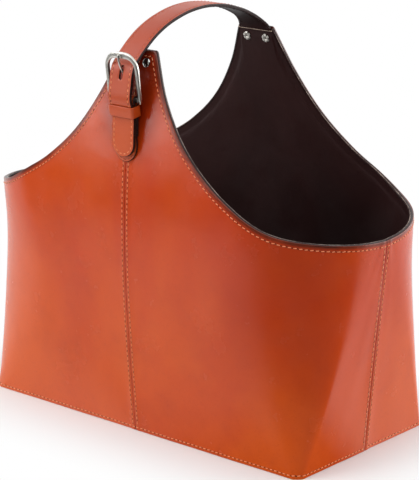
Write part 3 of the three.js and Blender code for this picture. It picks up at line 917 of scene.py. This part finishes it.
def base_plate(name, replaced, bottom, top, inset, material, soften, rings=6, lift=level):
    """Flat piece that fills the walls, with softened edges. Only its top can be uneven."""
    half = wall(wall_columns, bottom, inset)
    outline = np.vstack([half[1:], half[1:] * BACK])[:, :2]
    reach = np.linalg.norm(outline, axis=1, keepdims=True)
    count = len(outline)
    lower = ((soften, bottom), (soften * 0.3, bottom + soften * 0.3), (0, bottom + soften))
    upper = ((0, top - soften), (soften * 0.3, top - soften * 0.3), (soften, top))
    levels = [
        np.column_stack([outline * (1 - inward / reach), np.full(count, z)])
        for inward, z in lower + upper
    ]
    points = list(np.vstack(levels))
    faces = grid_faces(len(levels), count, loop_columns=True)
    around = [(i, (i + 1) % count) for i in range(count)]
    scales = np.linspace(0, 1, rings)[-2:0:-1] ** 0.7
    for row, z, rise in ((len(levels) - 1, top, lift), (0, bottom, level)):
        previous = row * count
        for scale in scales:
            ring = levels[row][:, :2] * scale
            current = len(points)
            points.extend(np.column_stack([ring, z + rise(ring)]))
            faces += bridge(around, previous, current - previous)
            previous = current
        centre = len(points)
        points.append((0, 0, z + float(rise(np.zeros((1, 2)))[0])))
        faces += [(previous + a, previous + b, centre) for a, b in around]
    add_object(name, points, faces, [material], replaced)


base_plate("base_leather", "base_cover", 0.0, 2.0, 2.0, strap_tan, 0.4)
base_plate("floor_lining_leather", "floor_lining", 5.0, 6.2, 5.15, dark, 0.45, 14, uneven)
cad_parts["base_board"].data.materials.clear()
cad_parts["base_board"].data.materials.append(board)

# Stitches. Each is sewn between two dark discs, painted shade of its needle holes.

AROUND = 8
THREAD_RINGS = 7


def stitch_axes(points, normals, way, at):
    """Place of a stitch and its directions along, across and out of the leather."""
    normal = unit(sample(at, way, normals))
    tangent = sample(min(at + 1, way[-1]), way, points) - sample(max(at - 1, 0), way, points)
    tangent = unit(tangent - normal * (tangent @ normal))
    side = np.cross(normal, tangent)
    lean = math.radians(STITCH_SLANT + draw.normal(0, 2.0))
    cos, sin = math.cos(lean), math.sin(lean)
    return sample(at, way, points), tangent * cos + side * sin, side * cos - tangent * sin, normal


def thread_rings(axes, half, width, lift):
    """Rings of one stitch, thick in the middle and sunk at its ends."""
    place, tangent, side, normal = axes
    spread = np.linspace(0.06, math.pi - 0.06, THREAD_RINGS)
    section = circle(AROUND, side * width / 2, normal * THREAD_RISE)
    rings = []
    for station, size in zip(-np.cos(spread), np.sin(spread) ** 0.45):
        sunk = lift - 0.35 * station**4
        rings.append(place + tangent * (station * half) + normal * sunk + section * size)
    return rings


def hole_shade_rings(axes, end, half, hole):
    """Two rings of the dark disc at one end of a stitch, painted shade of its needle hole."""
    place, tangent, side, normal = axes
    centre = place + tangent * (end * (half + hole[0] * 0.2))
    flat = circle(AROUND, tangent * hole[0], side * hole[1])
    return centre + flat - normal * 0.2, centre + flat * 0.8 + normal * 0.07


def stitch_row(name, lines, material, length=3.6, width=0.95, hole=(0.62, 0.5)):
    """Sewn thread, one stitch at a time, along lines of (points, normals)."""
    vertices, faces, hole_shade_faces = [], [], []
    for points, normals in lines:
        way = way_along(points)
        count = max(int(round(way[-1] / STITCH_PITCH)), 1)
        gap = way[-1] / count
        for k in range(count):
            axes = stitch_axes(points, normals, way, (k + 0.5) * gap)
            half = min(length, gap * 0.72) / 2 * (1 + draw.normal(0, 0.03))
            lift = 0.05 + draw.normal(0, 0.02)
            made, new_faces = tube(thread_rings(axes, half, width, lift), start=len(vertices))
            vertices.extend(made)
            faces += new_faces
            for end in (-1, 1):
                made, new_faces = tube(hole_shade_rings(axes, end, half, hole), start=len(vertices))
                vertices.extend(made)
                hole_shade_faces += new_faces
    # The second material is the painted shade of the needle holes.
    kinds = [0] * len(faces) + [1] * len(hole_shade_faces)
    materials = [material, needle_hole_shade]
    add_object(name, vertices, faces + hole_shade_faces, materials, angle=60, face_materials=kinds)


def on_wall(columns, heights, facing):
    """Points and normals on the leather's outer face."""
    inset = np.maximum(outer_inset(columns, heights), -0.7)
    return wall(columns, heights, inset) * facing, wall_normal(columns, heights) * facing


def even_rim(count):
    """Evenly spaced columns round the front wall."""
    return both_sides(column_at(np.linspace(0, END_WAY, count)))


def rim_stitch_line():
    """Line below the rim, without the points that come too close to it at the ear's corners."""
    columns, heights = below_rim(even_rim(900), RIM_STITCH)
    every = even_rim(1200)
    rim = wall(every, rim_height(every))
    near = np.array([np.linalg.norm(rim - p, axis=1).min() for p in wall(columns, heights)])
    clear = near > RIM_STITCH * 0.975
    columns, heights = columns[clear], heights[clear]
    order = np.argsort(columns)
    return columns[order], heights[order]


def seam_lines(facing):
    """Lines on both sides of a wall's middle seam and beside the seams of its ends."""
    lines = []
    for side in (-1, 1):
        heights = np.linspace(5.5, EAR_HEIGHT - 8, 240)
        half_length, _, corner_long, _ = section_at(heights, 0)
        columns = side * SEAM_STITCH / (half_length - corner_long)
        lines.append(on_wall(columns, heights, facing))
        heights = np.linspace(5.5, RIM_HEIGHT - 7, 160)
        _, half_depth, _, corner_deep = section_at(heights, 0)
        columns = side * (3 - SEAM_STITCH / (half_depth - corner_deep))
        lines.append(on_wall(columns, heights, facing))
    return lines


rim_places = rim_stitch_line()
rim_lines = [on_wall(*rim_places, facing) for facing in (FRONT, BACK)]
stitch_row("rim_stitching", rim_lines, thread)
stitch_row("seam_stitching", seam_lines(FRONT) + seam_lines(BACK), thread)
base_columns = np.linspace(-2.98, 2.98, 900)
base_heights = np.full(900, BASE_STITCH)
base_lines = [on_wall(base_columns, base_heights, facing) for facing in (FRONT, BACK)]
stitch_row("base_stitching", base_lines, thread)

# The strap and its path.

FRAME_UP = np.array([0, -math.sin(FRAME_LEAN), math.cos(FRAME_LEAN)])
FRAME_OUT = np.array([0, -math.cos(FRAME_LEAN), -math.sin(FRAME_LEAN)])
FRAME_AXES = np.array([[1, 0, 0], FRAME_UP, FRAME_OUT])


def in_frame(points):
    """Points that are given across, along and out of the buckle's plane from its heel."""
    return HEEL + np.asarray(points, float) @ FRAME_AXES


def on_front(height, distance):
    """Point before the middle of the front wall."""
    return np.array([0, -float(wall_at(height)) - distance, height])


def in_back_ear(height):
    """Middle of the strap between the back ear's leather and its lining."""
    return np.array([0, float(wall_at(height)) - LEATHER - GAP - STRAP_THICK / 2, height])


wall_lean = math.atan2(float(wall_at(310.5) - wall_at(318.5)), 8)
KEEPER_LIFT = KEEPER_BAND + GAP + KEEPER_WIDTH / 2 * (math.tan(KEEPER_LEAN) + math.tan(wall_lean))
chape_at_keeper = on_front(KEEPER_HEIGHT, GAP + CHAPE_LAYER + KEEPER_LIFT)
chape_end = on_front(FOLD_HEIGHT, GAP + CHAPE_LAYER)


def strap_points():
    """Middle line of the strap, from inside the back ear to the tip of its tongue."""
    rise = APEX_HEIGHT - STRAP_THICK / 2 - EAR_HEIGHT
    ear = float(wall_at(EAR_HEIGHT))
    return [
        *(in_back_ear(height) for height in ROOT_HEIGHTS),
        *((0, ear * across, EAR_HEIGHT + rise * up) for across, up in ARCH_SHARES),
        *(in_frame((0, FRAME_LENGTH * a, STRAP_OVER_HEEL * o)) for a, o in IN_BUCKLE_SHARES),
        in_frame((0, 0, STRAP_OVER_HEEL)),
        chape_at_keeper - Y * (STRAP_ON_CHAPE + GAP),
        chape_end - Y * STRAP_ON_CHAPE,
        on_front(TONGUE_HEIGHT, GAP + STRAP_ON_CHAPE),
    ]


# Straps. Places across one lie so far from its edge, and beyond FAR they are in its middle.

EDGE_STEPS = np.array([0.0, 0.06, 0.2, 0.45, 0.8, 1.5, 2.4, 3.1, 3.8, 4.8, 7.0])
FAR = 9.0
PAINTED_BAND = 0.3


def in_slot(way, slot):
    return np.abs(way - slot[0]) <= slot[1] + 1e-6


def ribbon_ways(start, last, slot, spacing):
    """Ways of the rows across a strap, closer at the rounded ends of its slot."""
    at, half_long, half_wide = slot
    turned = [half_wide * (1 - math.cos(a)) for a in np.linspace(0, math.pi / 2, 6)]
    straight = half_long - half_wide
    inside = [at - half_long + t for t in turned] + [at + half_long - t for t in turned]
    inside += list(np.linspace(at - straight, at + straight, 6)[1:-1])
    ways = [*np.arange(start, last, spacing), last]
    ways = [way for way in ways if abs(way - at) > half_long + 0.6] + inside
    return sorted(set(round(way, 6) for way in ways))


def inwards(half, last):
    """Places from half a strap's edge to the last one, closer at the edge."""
    return np.concatenate([half - EDGE_STEPS, np.linspace(half - EDGE_STEPS[-1], last, 4)[1:]])


def ribbon_row(way, half, slot):
    """Places across half a strap: (x, way, distance from the edge, distance from the slot)."""
    at, half_long, half_wide = slot
    hole = 0.0
    if in_slot(way, slot):
        over = max(abs(way - at) - (half_long - half_wide), 0)
        hole = math.sqrt(max(half_wide**2 - over**2, 0))
    return [(x, way, min(half - x, FAR), x - hole if hole else FAR) for x in inwards(half, hole)]


def tip_row(way, half, angle):
    """Places across the rounded end of half a strap, at an angle round its middle."""
    cos, sin = math.cos(angle), math.sin(angle)
    return [(r * cos, way + r * sin, min(half - r, FAR), FAR) for r in inwards(half, 0)]


def rounding(radius, away, from_slot):
    """Drop of a face that is rounded to its edges."""
    near = np.minimum(away, from_slot * 1.5)
    inside = np.clip(radius - near, 0, radius)
    return radius - np.sqrt(np.maximum(radius**2 - inside**2, 0))


def ribbon(name, replaced, path, start, half_width, tip, faces_at, material, slot, spacing=2.6,
           crown=0.0, channel=0.0, rounds=(0.1, 0.5)):
    """A strap with painted edges along a path in the YZ plane, with a slot and a rounded tip.

    Its lower and upper faces lie at two offsets from the path and have their own edge radii.
    slot is (way, half length, half width). channel is the depth of the line that thread lies in.
    """
    ways = ribbon_ways(start, path.length - tip, slot, spacing)
    rows = [ribbon_row(way, float(half_width(way)), slot) for way in ways]
    end_half = float(half_width(ways[-1]))
    rows += [tip_row(ways[-1], end_half, a) for a in np.linspace(0, math.pi / 2, 12)[1:]]
    x, way, away, from_slot = np.moveaxis(np.array(rows), -1, 0)
    across = np.clip(np.abs(x) / np.maximum(np.abs(x[:, :1]), 1), 0, 1)
    pressed = channel * np.exp(-(((away - STRAP_STITCH) / 0.55) ** 2))
    top = faces_at[1] - rounding(rounds[1], away, from_slot) + crown * (1 - across**2) - pressed
    bottom = faces_at[0] + rounding(rounds[0], away, from_slot)
    place, up = path.at(way), path.upward(way)
    n, m = x.shape
    size = n * m
    holed = in_slot(way[:, -1], slot)
    slot_rows = np.flatnonzero(holed[:-1] & holed[1:]).tolist()
    border = [(r * m, r * m + m) for r in range(n - 1)] + [(c, c + 1) for c in range(m - 1)]
    border += [(r * m + m - 1, r * m + 2 * m - 1) for r in slot_rows]
    painted = np.tile(away[0, :-1] < PAINTED_BAND, n - 1).astype(int)
    points, faces, kinds = [], [], []
    for side in (1, -1):
        begin = len(points)
        for layer in (top, bottom):
            block = place + up * layer[..., None]
            block[..., 0] = side * x
            faces += grid_faces(n, m, len(points))
            kinds.extend(painted)
            points.extend(block.reshape(-1, 3))
        faces += bridge(border, begin, size)
        kinds += [1] * len(border)
    add_object(name, points, faces, [material, edge], replaced, angle=42, face_materials=kinds)


def strap_half(way):
    """Half width of the strap, wide where it goes into the back ear."""
    _, y, z = strap_path.at(way)
    if y < 0:
        return STRAP_HALF
    share = np.clip((z - BACK_LINING_TOP) / FLARE_HEIGHT, 0, 1)
    return STRAP_HALF + (STRAP_ROOT_HALF - STRAP_HALF) * float(smooth(FLARE_SHARES, share))


def edge_line(path, half_width, start, end, inward, lift, tip=0.0, steps=400):
    """Points and normals down one edge of a strap, round its tip and up the other edge."""
    ways = np.linspace(start, end - tip, steps)
    right = [(float(half_width(way)) - inward, way) for way in ways]
    line = list(right)
    if tip:
        line += arc(0, ways[-1], tip - inward, np.linspace(0, math.pi, 60)[1:-1])
    line += [(-x, way) for x, way in reversed(right)]
    x, way = np.array(line).T
    up = path.upward(way)
    place = path.at(way) + up * lift
    place[:, 0] = x
    return place, up


strap_path = Path(catmull(strap_points()), blur=2.2)
EXIT = float(strap_path.way[np.argmax(strap_path.points[:, 2] > BACK_LINING_TOP + 0.3)])
BEND = strap_path.nearest(in_frame((0, FRAME_LENGTH, -7)))
strap_slot = (strap_path.nearest(in_frame((0, FRAME_LENGTH * SLOT_SHARE, 0.4))), *STRAP_SLOT)
ribbon(
    "handle_strap_leather", "handle_strap", strap_path, 0, strap_half, STRAP_HALF,
    (STRAP_SPLIT, STRAP_THICK / 2), strap_tan, strap_slot, crown=0.25, channel=0.14,
)
ribbon(
    "handle_strap_underside", "handle_strap_lining", strap_path, EXIT, strap_half, STRAP_HALF,
    (-STRAP_THICK / 2, STRAP_SPLIT), dark, strap_slot, rounds=(0.45, 0.05),
)

arch_points, arch_normals = edge_line(
    strap_path, strap_half, EXIT + FIRST_STITCH, BEND, STRAP_STITCH, STRAP_THICK / 2 - 0.1
)
arch_sides = zip(np.split(arch_points, 2), np.split(arch_normals, 2))
stitch_row("strap_arch_stitching", arch_sides, strap_thread)
tongue = edge_line(
    strap_path, strap_half, BEND, strap_path.length, TONGUE_STITCH, STRAP_THICK / 2 - 0.1,
    STRAP_HALF,
)
stitch_row("tongue_stitching", [tongue], thread, length=3.0, width=1.05, hole=(0.85, 0.62))
under_points, under_normals = edge_line(
    strap_path, strap_half, EXIT + FIRST_STITCH, strap_path.length, STRAP_STITCH,
    0.02 - STRAP_THICK / 2, STRAP_HALF,
)
under_side = [(under_points, -under_normals)]
stitch_row("strap_underside_stitching", under_side, dark_thread, width=0.7)

# Chape and keeper.


def chape_points():
    """Middle line of the chape: up behind the heel bar, round it and down to its end."""
    half = CHAPE_LAYER / 2
    centre = Path(catmull([chape_end, chape_at_keeper, HEEL]))

    def beside(height, offset):
        way = centre.way[int(np.abs(centre.points[:, 2] - height).argmin())]
        return centre.at(way) + centre.upward(way) * offset

    turn = np.radians([-12, 30, 75, 120, 165, 200])
    return [
        *(beside(height, half + 0.02) for height in CHAPE_HEIGHTS),
        *(HEEL + (0, y, z) for y, z in arc(0, 0, FOLD_RADIUS + half, turn)),
        *(beside(height, -half - 0.02) for height in CHAPE_HEIGHTS[:0:-1]),
        on_front(FOLD_HEIGHT + 1.5, GAP + CHAPE_LAYER + half * 0.8),
        on_front(FOLD_HEIGHT - 6, 0.25 + half),
        on_front(CHAPE_TIP + 10, 0.2 + half),
        on_front(CHAPE_TIP, 0.15 + half),
    ]


def chape_half(way):
    return CHAPE_HALF


chape_path = Path(catmull(chape_points()), blur=0.9)
fold_way = chape_path.nearest(HEEL + Z * (FOLD_RADIUS + CHAPE_LAYER / 2))
ribbon(
    "buckle_chape_leather", "buckle_chape", chape_path, 0, chape_half, CHAPE_HALF,
    (-CHAPE_LAYER / 2, CHAPE_LAYER / 2), strap_tan, (fold_way, *CHAPE_SLOT), spacing=1.6,
    rounds=(0.3, 0.4),
)
chape_line = edge_line(
    chape_path, chape_half, chape_path.nearest(on_front(288, 1.2)), chape_path.length,
    CHAPE_STITCH, CHAPE_LAYER / 2 - 0.05, CHAPE_HALF, steps=40,
)
stitch_row("chape_stitching", [chape_line], strap_thread, width=0.8)


def keeper_outline(low, high, side, radius=1.6):
    """Evenly spaced points and outward directions round the keeper, seen from above."""
    corners = (
        (side - radius, low + radius, -90), (side - radius, high - radius, 0),
        (radius - side, high - radius, 90), (radius - side, low + radius, 180),
    )
    line = [
        point
        for x, y, first in corners
        for point in arc(x, y, radius, np.radians(np.linspace(first, first + 90, 8)))
    ]
    loop = Path(line + line[:1])
    place = loop.at(np.arange(0, loop.length - 0.4, 1.1))
    ahead = unit(np.roll(place, -1, axis=0) - np.roll(place, 1, axis=0))
    return place, np.stack([ahead[:, 1], -ahead[:, 0]], 1)


def keeper_band():
    """Leather band round the chape and the tongue, square to the strap that it holds."""
    depth = 2 * (CHAPE_LAYER + GAP) + STRAP_THICK + 2.0
    half = KEEPER_BAND / 2
    side = STRAP_HALF + 0.4 + half
    rings = []
    for (x, y), (out_x, out_y) in zip(*keeper_outline(-half, depth + half, side)):
        bow = KEEPER_BOW * (1 - (x / side) ** 2) if y > depth / 2 else 0.0
        ring = []
        for a, c in zip(*superellipse(28, 0.42)):
            thick = a * half + bow + 0.12 * (1 - c * c) * (a > 0)
            ring.append((x + out_x * thick, y + out_y * thick, c * KEEPER_HALF - 0.6))
        rings.append(ring)
    x, out, down = np.moveaxis(np.array(rings), -1, 0)
    cos, sin = math.cos(KEEPER_LEAN), math.sin(KEEPER_LEAN)
    y = -out * cos + down * sin + chape_at_keeper[1] + CHAPE_LAYER + GAP
    z = -out * sin - down * cos + KEEPER_HEIGHT
    points, faces = tube(np.stack([x, y, z], -1), closed=True)
    add_object("keeper_band", points, faces, [strap_tan], "strap_keeper", angle=50)


keeper_band()

# Buckle and prong. An outline is given by its half width, foot, top and corner radius.

BUCKLE_OUTER = (20.5, -3.2, 44.1, 16.0)
BUCKLE_INNER = (16.3, -3.2, 37.9, 9.0)
BAR_STATIONS = (-18.6, -17.5, -12, -6, 0, 6, 12, 17.5, 18.6)


def buckle_outline(half, foot, top, radius):
    """One outline of the horseshoe, from its left foot over the top to its right foot."""
    line = [(-half, foot + (top - radius - foot) * t) for t in np.linspace(0, 1, 15)[:-1]]
    line += arc(radius - half, top - radius, radius, np.linspace(math.pi, math.pi / 2, 19)[:-1])
    left = list(line)
    line += [(-(half - radius) * (1 - 2 * t), top) for t in np.linspace(0, 1, 9)[:-1]]
    line = np.array(line + [(-x, y) for x, y in reversed(left)])
    blur = np.array([1, 2, 3, 2, 1]) / 9
    soft = [np.convolve(axis, blur, mode="valid") for axis in line.T]
    line[2:-2] = np.stack(soft, 1)
    return line


def buckle_loop():
    """The horseshoe between its outer and inner outlines, and the heel bar across its feet."""
    outer, inner = buckle_outline(*BUCKLE_OUTER), buckle_outline(*BUCKLE_INNER)
    rings = []
    for k, (o, i) in enumerate(zip(outer, inner)):
        size = (0.55, 0.86, 1.0)[min(k, len(outer) - 1 - k, 2)]
        middle, across = (o + i) / 2, (o - i) / 2 * size
        rings.append(
            [(*(middle + across * a), 1.6 * c * size) for a, c in zip(*superellipse(28, 0.62))]
        )
    loop_points, faces = tube(rings)
    bar = [X * x + circle(24, Y * HEEL_RADIUS, Z * HEEL_RADIUS) for x in BAR_STATIONS]
    bar_points, bar_faces = tube(bar, start=len(loop_points))
    points = in_frame(np.vstack([loop_points, bar_points]))
    faces += bar_faces
    add_object("polished_buckle", points, faces, [nickel], "buckle_frame", "buckle", 50)


def prong_rod():
    """Rings of the tapered rod from the eye to the round end beyond the front bar."""
    run = [(0, FRAME_LENGTH * a, PRONG_ON_BAR * o) for a, o in PRONG_SHARES]
    path = Path(catmull([(0, PRONG_EYE, 0), *run]), blur=0.6)
    end_ways = path.length - np.array([1.9, 1.4, 0.9, 0.5, 0.2, 0.05])
    rings = []
    for way in (*np.arange(0, path.length - 2.2, 0.8), *end_ways):
        left = max(1 - (path.length - way) / 1.3, 0)
        size = PRONG_RADIUS * (1 - 0.18 * way / path.length) * math.sqrt(max(1 - left**2, 0.02))
        rings.append(path.at(way) + circle(20, X * size, path.upward(way) * -size * 0.94))
    return rings


def round_prong():
    """The prong's rod, and its eye round the heel bar."""
    rod_points, faces = tube(prong_rod())
    eye = [
        out * PRONG_EYE + circle(20, out * PRONG_RADIUS, X * PRONG_RADIUS)
        for out in circle(36, Y, Z)
    ]
    eye_points, eye_faces = tube(eye, closed=True, start=len(rod_points))
    points = in_frame(np.vstack([rod_points, eye_points]))
    faces += eye_faces
    add_object("polished_prong", points, faces, [nickel], "buckle_prong", "prong", 60)


buckle_loop()
round_prong()

# Rivets. Radii and heights are measured from the wall's outer face, outwards.

INNER_END = -WALL - 0.05
SHANK_PROFILE = (
    (0.05, INNER_END + 0.5), (1.5, INNER_END + 0.5), (1.7, INNER_END), (1.7, 0.05),
    (4.1, 0.05), (4.45, 0.15),
)
CAP_RADIUS, CAP_FOOT, CAP_RISE = 4.5, 0.35, 1.7
PETALS = 6
PETAL_ROWS = ((0.75, 0.1), (1.3, -0.5), (2.3, -0.95), (3.4, -0.95), (4.1, -0.6), (4.45, -0.15))


def rivet_body():
    """Domed cap outside and shank through the wall."""
    cap = [
        (CAP_RADIUS * math.cos(a), CAP_FOOT + CAP_RISE * math.sin(a))
        for a in np.linspace(0, math.pi / 2 - 0.06, 12)
    ]
    profile = (*SHANK_PROFILE, *cap, (0.03, 2.06))
    return tube([Z * height + circle(32, X * radius, Y * radius) for radius, height in profile])


def petal(middle):
    """Lower and upper sheets of one point of the split end, which is spread on the lining."""
    strip = []
    for r, lift in PETAL_ROWS:
        width = 1.0 if r < 4 else 0.82 if r < 4.3 else 0.5
        strip.append(
            [
                (
                    r * math.cos(middle + s * width),
                    r * math.sin(middle + s * width),
                    INNER_END + lift - 0.05 * math.cos(s * 3),
                )
                for s in np.linspace(-0.44, 0.44, 7)
            ]
        )
    strip = np.array(strip)
    return np.stack([strip, strip + (0, 0, 0.32)])


def on_ear(points, x, side):
    """Points of a rivet set on the front ear (side -1) or the back ear (side 1)."""
    drop = float(wall_at(RIVET_HEIGHT - 4) - wall_at(RIVET_HEIGHT + 4))
    lean = math.atan2(drop, 8)
    out = (0, math.cos(lean), math.sin(lean))
    up = (0, -math.sin(lean), math.cos(lean))
    placed = points @ np.array([(1, 0, 0), up, out])
    return (placed + (x, float(wall_at(RIVET_HEIGHT)), RIVET_HEIGHT)) * (1, side, 1)


def split_rivet(name, replaced, x, side):
    """One rivet with a star-split end. The front ones show a brighter dome."""
    points, faces = rivet_body()
    kinds = [int(side < 0)] * len(faces)
    for k in range(PETALS):
        sheets = petal(2 * math.pi * (k + 0.5 * (side > 0)) / PETALS)
        faces += sheet_faces(*sheets.shape[1:3], len(points))
        points = np.vstack([points, sheets.reshape(-1, 3)])
    kinds += [0] * (len(faces) - len(kinds))
    materials = [rivet_nickel, dome_nickel]
    placed = on_ear(points, x, side)
    add_object(name, placed, faces, materials, replaced, angle=45, face_materials=kinds)


for wall_name, side in (("front", -1), ("back", 1)):
    for hand, x in RIVET_PLACES:
        key = f"{wall_name}_{hand}"
        split_rivet(f"{key}_split_rivet", f"{key}_rivet", x, side)

# Camera, in metres. It stands as in the photograph.

AZIMUTH, ELEVATION, ROLL = math.radians(41.56), math.radians(15.84), math.radians(-0.49)
CAMERA_DISTANCE = 2.0
LOOKED_AT = np.array([0, 0, 0.16775])
LOOKED_RIGHT = 0.00042
PICTURE_HEIGHT = 480
FOCAL_PIXELS, SHIFT_PIXELS = 2059.2, 7.06
SENSOR = 36


def towards(azimuth, elevation):
    """Directions from the basket to a viewer, and to the viewer's right."""
    level = math.cos(elevation)
    back = (math.sin(azimuth) * level, -math.cos(azimuth) * level, math.sin(elevation))
    return np.array(back), np.array([math.cos(azimuth), math.sin(azimuth), 0])


def pose(right, up, back, place):
    """Matrix of an object that looks along the reverse of back."""
    return Matrix([*np.column_stack([right, up, back, place]).tolist(), [0, 0, 0, 1]])


def photo_camera():
    back, right = towards(AZIMUTH, ELEVATION)
    up = np.cross(back, right)
    cos, sin = math.cos(ROLL), math.sin(ROLL)
    data = bpy.data.cameras.new("camera")
    data.lens = FOCAL_PIXELS * SENSOR / PICTURE_HEIGHT
    data.shift_x = SHIFT_PIXELS / PICTURE_HEIGHT
    data.clip_start, data.clip_end = 0.1, 60
    camera = in_scene("camera", data)
    place = LOOKED_AT + right * LOOKED_RIGHT + back * CAMERA_DISTANCE
    camera.matrix_world = pose(cos * right + sin * up, cos * up - sin * right, back, place)
    scene.camera = camera


photo_camera()

# Floor, background and light, in metres.

ROOM_SIDE = math.radians(18)
BRIGHT_TABLE = (-0.31, -0.36, 0.0)
DARK_ROOM = 0.03
WHITE = (1, 1, 1, 1)
FLOOR_HALF = 9.0
FLOOR_LEVEL = -0.0004
BASE_HALF = (0.2, 0.0975)
LOOKED_RAYS = ("Is Camera Ray", "Is Transmission Ray")
AMBIENT = 0.47

# Lamps: azimuth and elevation in degrees, distance, width and height, and watts.

LAMPS = {
    "fill_right": (148, 10, 1.8, (2.2, 1.1), 31),
    "front_right": (62, 48, 1.9, (1.2, 0.8), 4),
    "key_left": (-45, 36, 1.9, (1.8, 1.1), 22),
    "top": (-20, 75, 1.9, (1.2, 1.2), 3),
    "ear_sheen": (-41, 5, 1.9, (0.5, 0.3), 2.3),
}


def any_of(b, *rays):
    """1 for the named kinds of ray, and 0 for all others."""
    outputs = b.node("ShaderNodeLightPath").outputs
    seen = outputs[rays[0]]
    for ray in rays[1:]:
        seen = b.larger(seen, outputs[ray])
    return seen


def backdrop_share(b, direction):
    """How much of the white backdrop or ceiling lies in a direction."""
    front = (math.sin(ROOM_SIDE), -math.cos(ROOM_SIDE), 0)
    behind = b.span(b.vector("DOT_PRODUCT", direction, front), -0.45, -0.05, 1.0, DARK_ROOM)
    return b.larger(behind, b.span(b.along("Z", direction), 0.24, 0.6))


def background_strength(b, in_gloss):
    """Strength of the white background: 1 for the camera and glass, in_gloss for reflections."""
    looked_at = any_of(b, *LOOKED_RAYS)
    return b.plus(looked_at, b.times(b.minus(1.0, looked_at), in_gloss))


def white_share(b, behind):
    """How much of the floor is plain white. The rest is a matt surface that shows the shadow.

    Reflections show a bright end of the table.
    """
    beyond = [b.minus(b.apart(axis), half) for axis, half in zip("XY", BASE_HALF)]
    far = b.times(any_of(b, *LOOKED_RAYS), b.span(b.larger(*beyond), -0.02, 0.11))
    table_end = b.span(b.vector("DISTANCE", b.place, BRIGHT_TABLE), 0.36, 0.54)
    reflected = b.times(any_of(b, "Is Glossy Ray"), b.larger(table_end, behind))
    return b.larger(far, reflected)


def pale_floor():
    """Wide pale floor that keeps the shadow close to the basket."""
    r = FLOOR_HALF
    mesh = bpy.data.meshes.new("floor")
    corners = [(x, y, FLOOR_LEVEL) for x, y in ((-r, -r), (r, -r), (r, r), (-r, r))]
    mesh.from_pydata(corners, [], [(0, 1, 2, 3)])
    made = in_scene("floor", mesh)
    material = bpy.data.materials.new("pale_floor")
    b = Build(material)
    matt = b.principled(Base_Color=(0.86, 0.86, 0.86, 1), Roughness=0.7, Specular_IOR_Level=0.2)
    backwards = b.minus(b.along("Y"), b.times(b.along("X"), 0.5))
    behind = b.span(backwards, -0.15, -0.08)
    strength = background_strength(b, b.larger(behind, DARK_ROOM))
    glow = b.node("ShaderNodeEmission", Color=WHITE, Strength=strength)
    blend = b.node("ShaderNodeMixShader", Fac=white_share(b, behind))
    b.feed(blend.inputs[1], matt.outputs[0])
    b.feed(blend.inputs[2], glow.outputs[0])
    b.surface(blend)
    mesh.materials.append(material)


def studio_world():
    """White background, its reflections and an even soft light.

    Reflections show a white backdrop behind and beside the basket and a dark room in front.
    """
    world = bpy.data.worlds.new("studio")
    scene.world = world
    b = Build(world)
    direction = b.node("ShaderNodeTexCoord").outputs["Generated"]
    strength = background_strength(b, backdrop_share(b, direction))
    seen = any_of(b, *LOOKED_RAYS, "Is Glossy Ray")
    soft = b.times(b.minus(1.0, seen), AMBIENT)
    shown = b.plus(soft, b.times(seen, strength))
    light = b.node("ShaderNodeBackground", Color=WHITE, Strength=shown)
    b.surface(light, "ShaderNodeOutputWorld")


def soft_light(name, azimuth, elevation, distance, size, power):
    """Soft box that looks at the middle of the basket."""
    away, side = towards(math.radians(azimuth), math.radians(elevation))
    data = bpy.data.lights.new(name, "AREA")
    data.shape = "RECTANGLE"
    data.size, data.size_y = size
    data.energy = power
    made = in_scene(name, data)
    spot = away * distance + np.array([0, 0, 0.2])
    made.matrix_world = pose(side, np.cross(away, side), away, spot)


pale_floor()
studio_world()
for lamp_name, lamp in LAMPS.items():
    soft_light(lamp_name, *lamp)
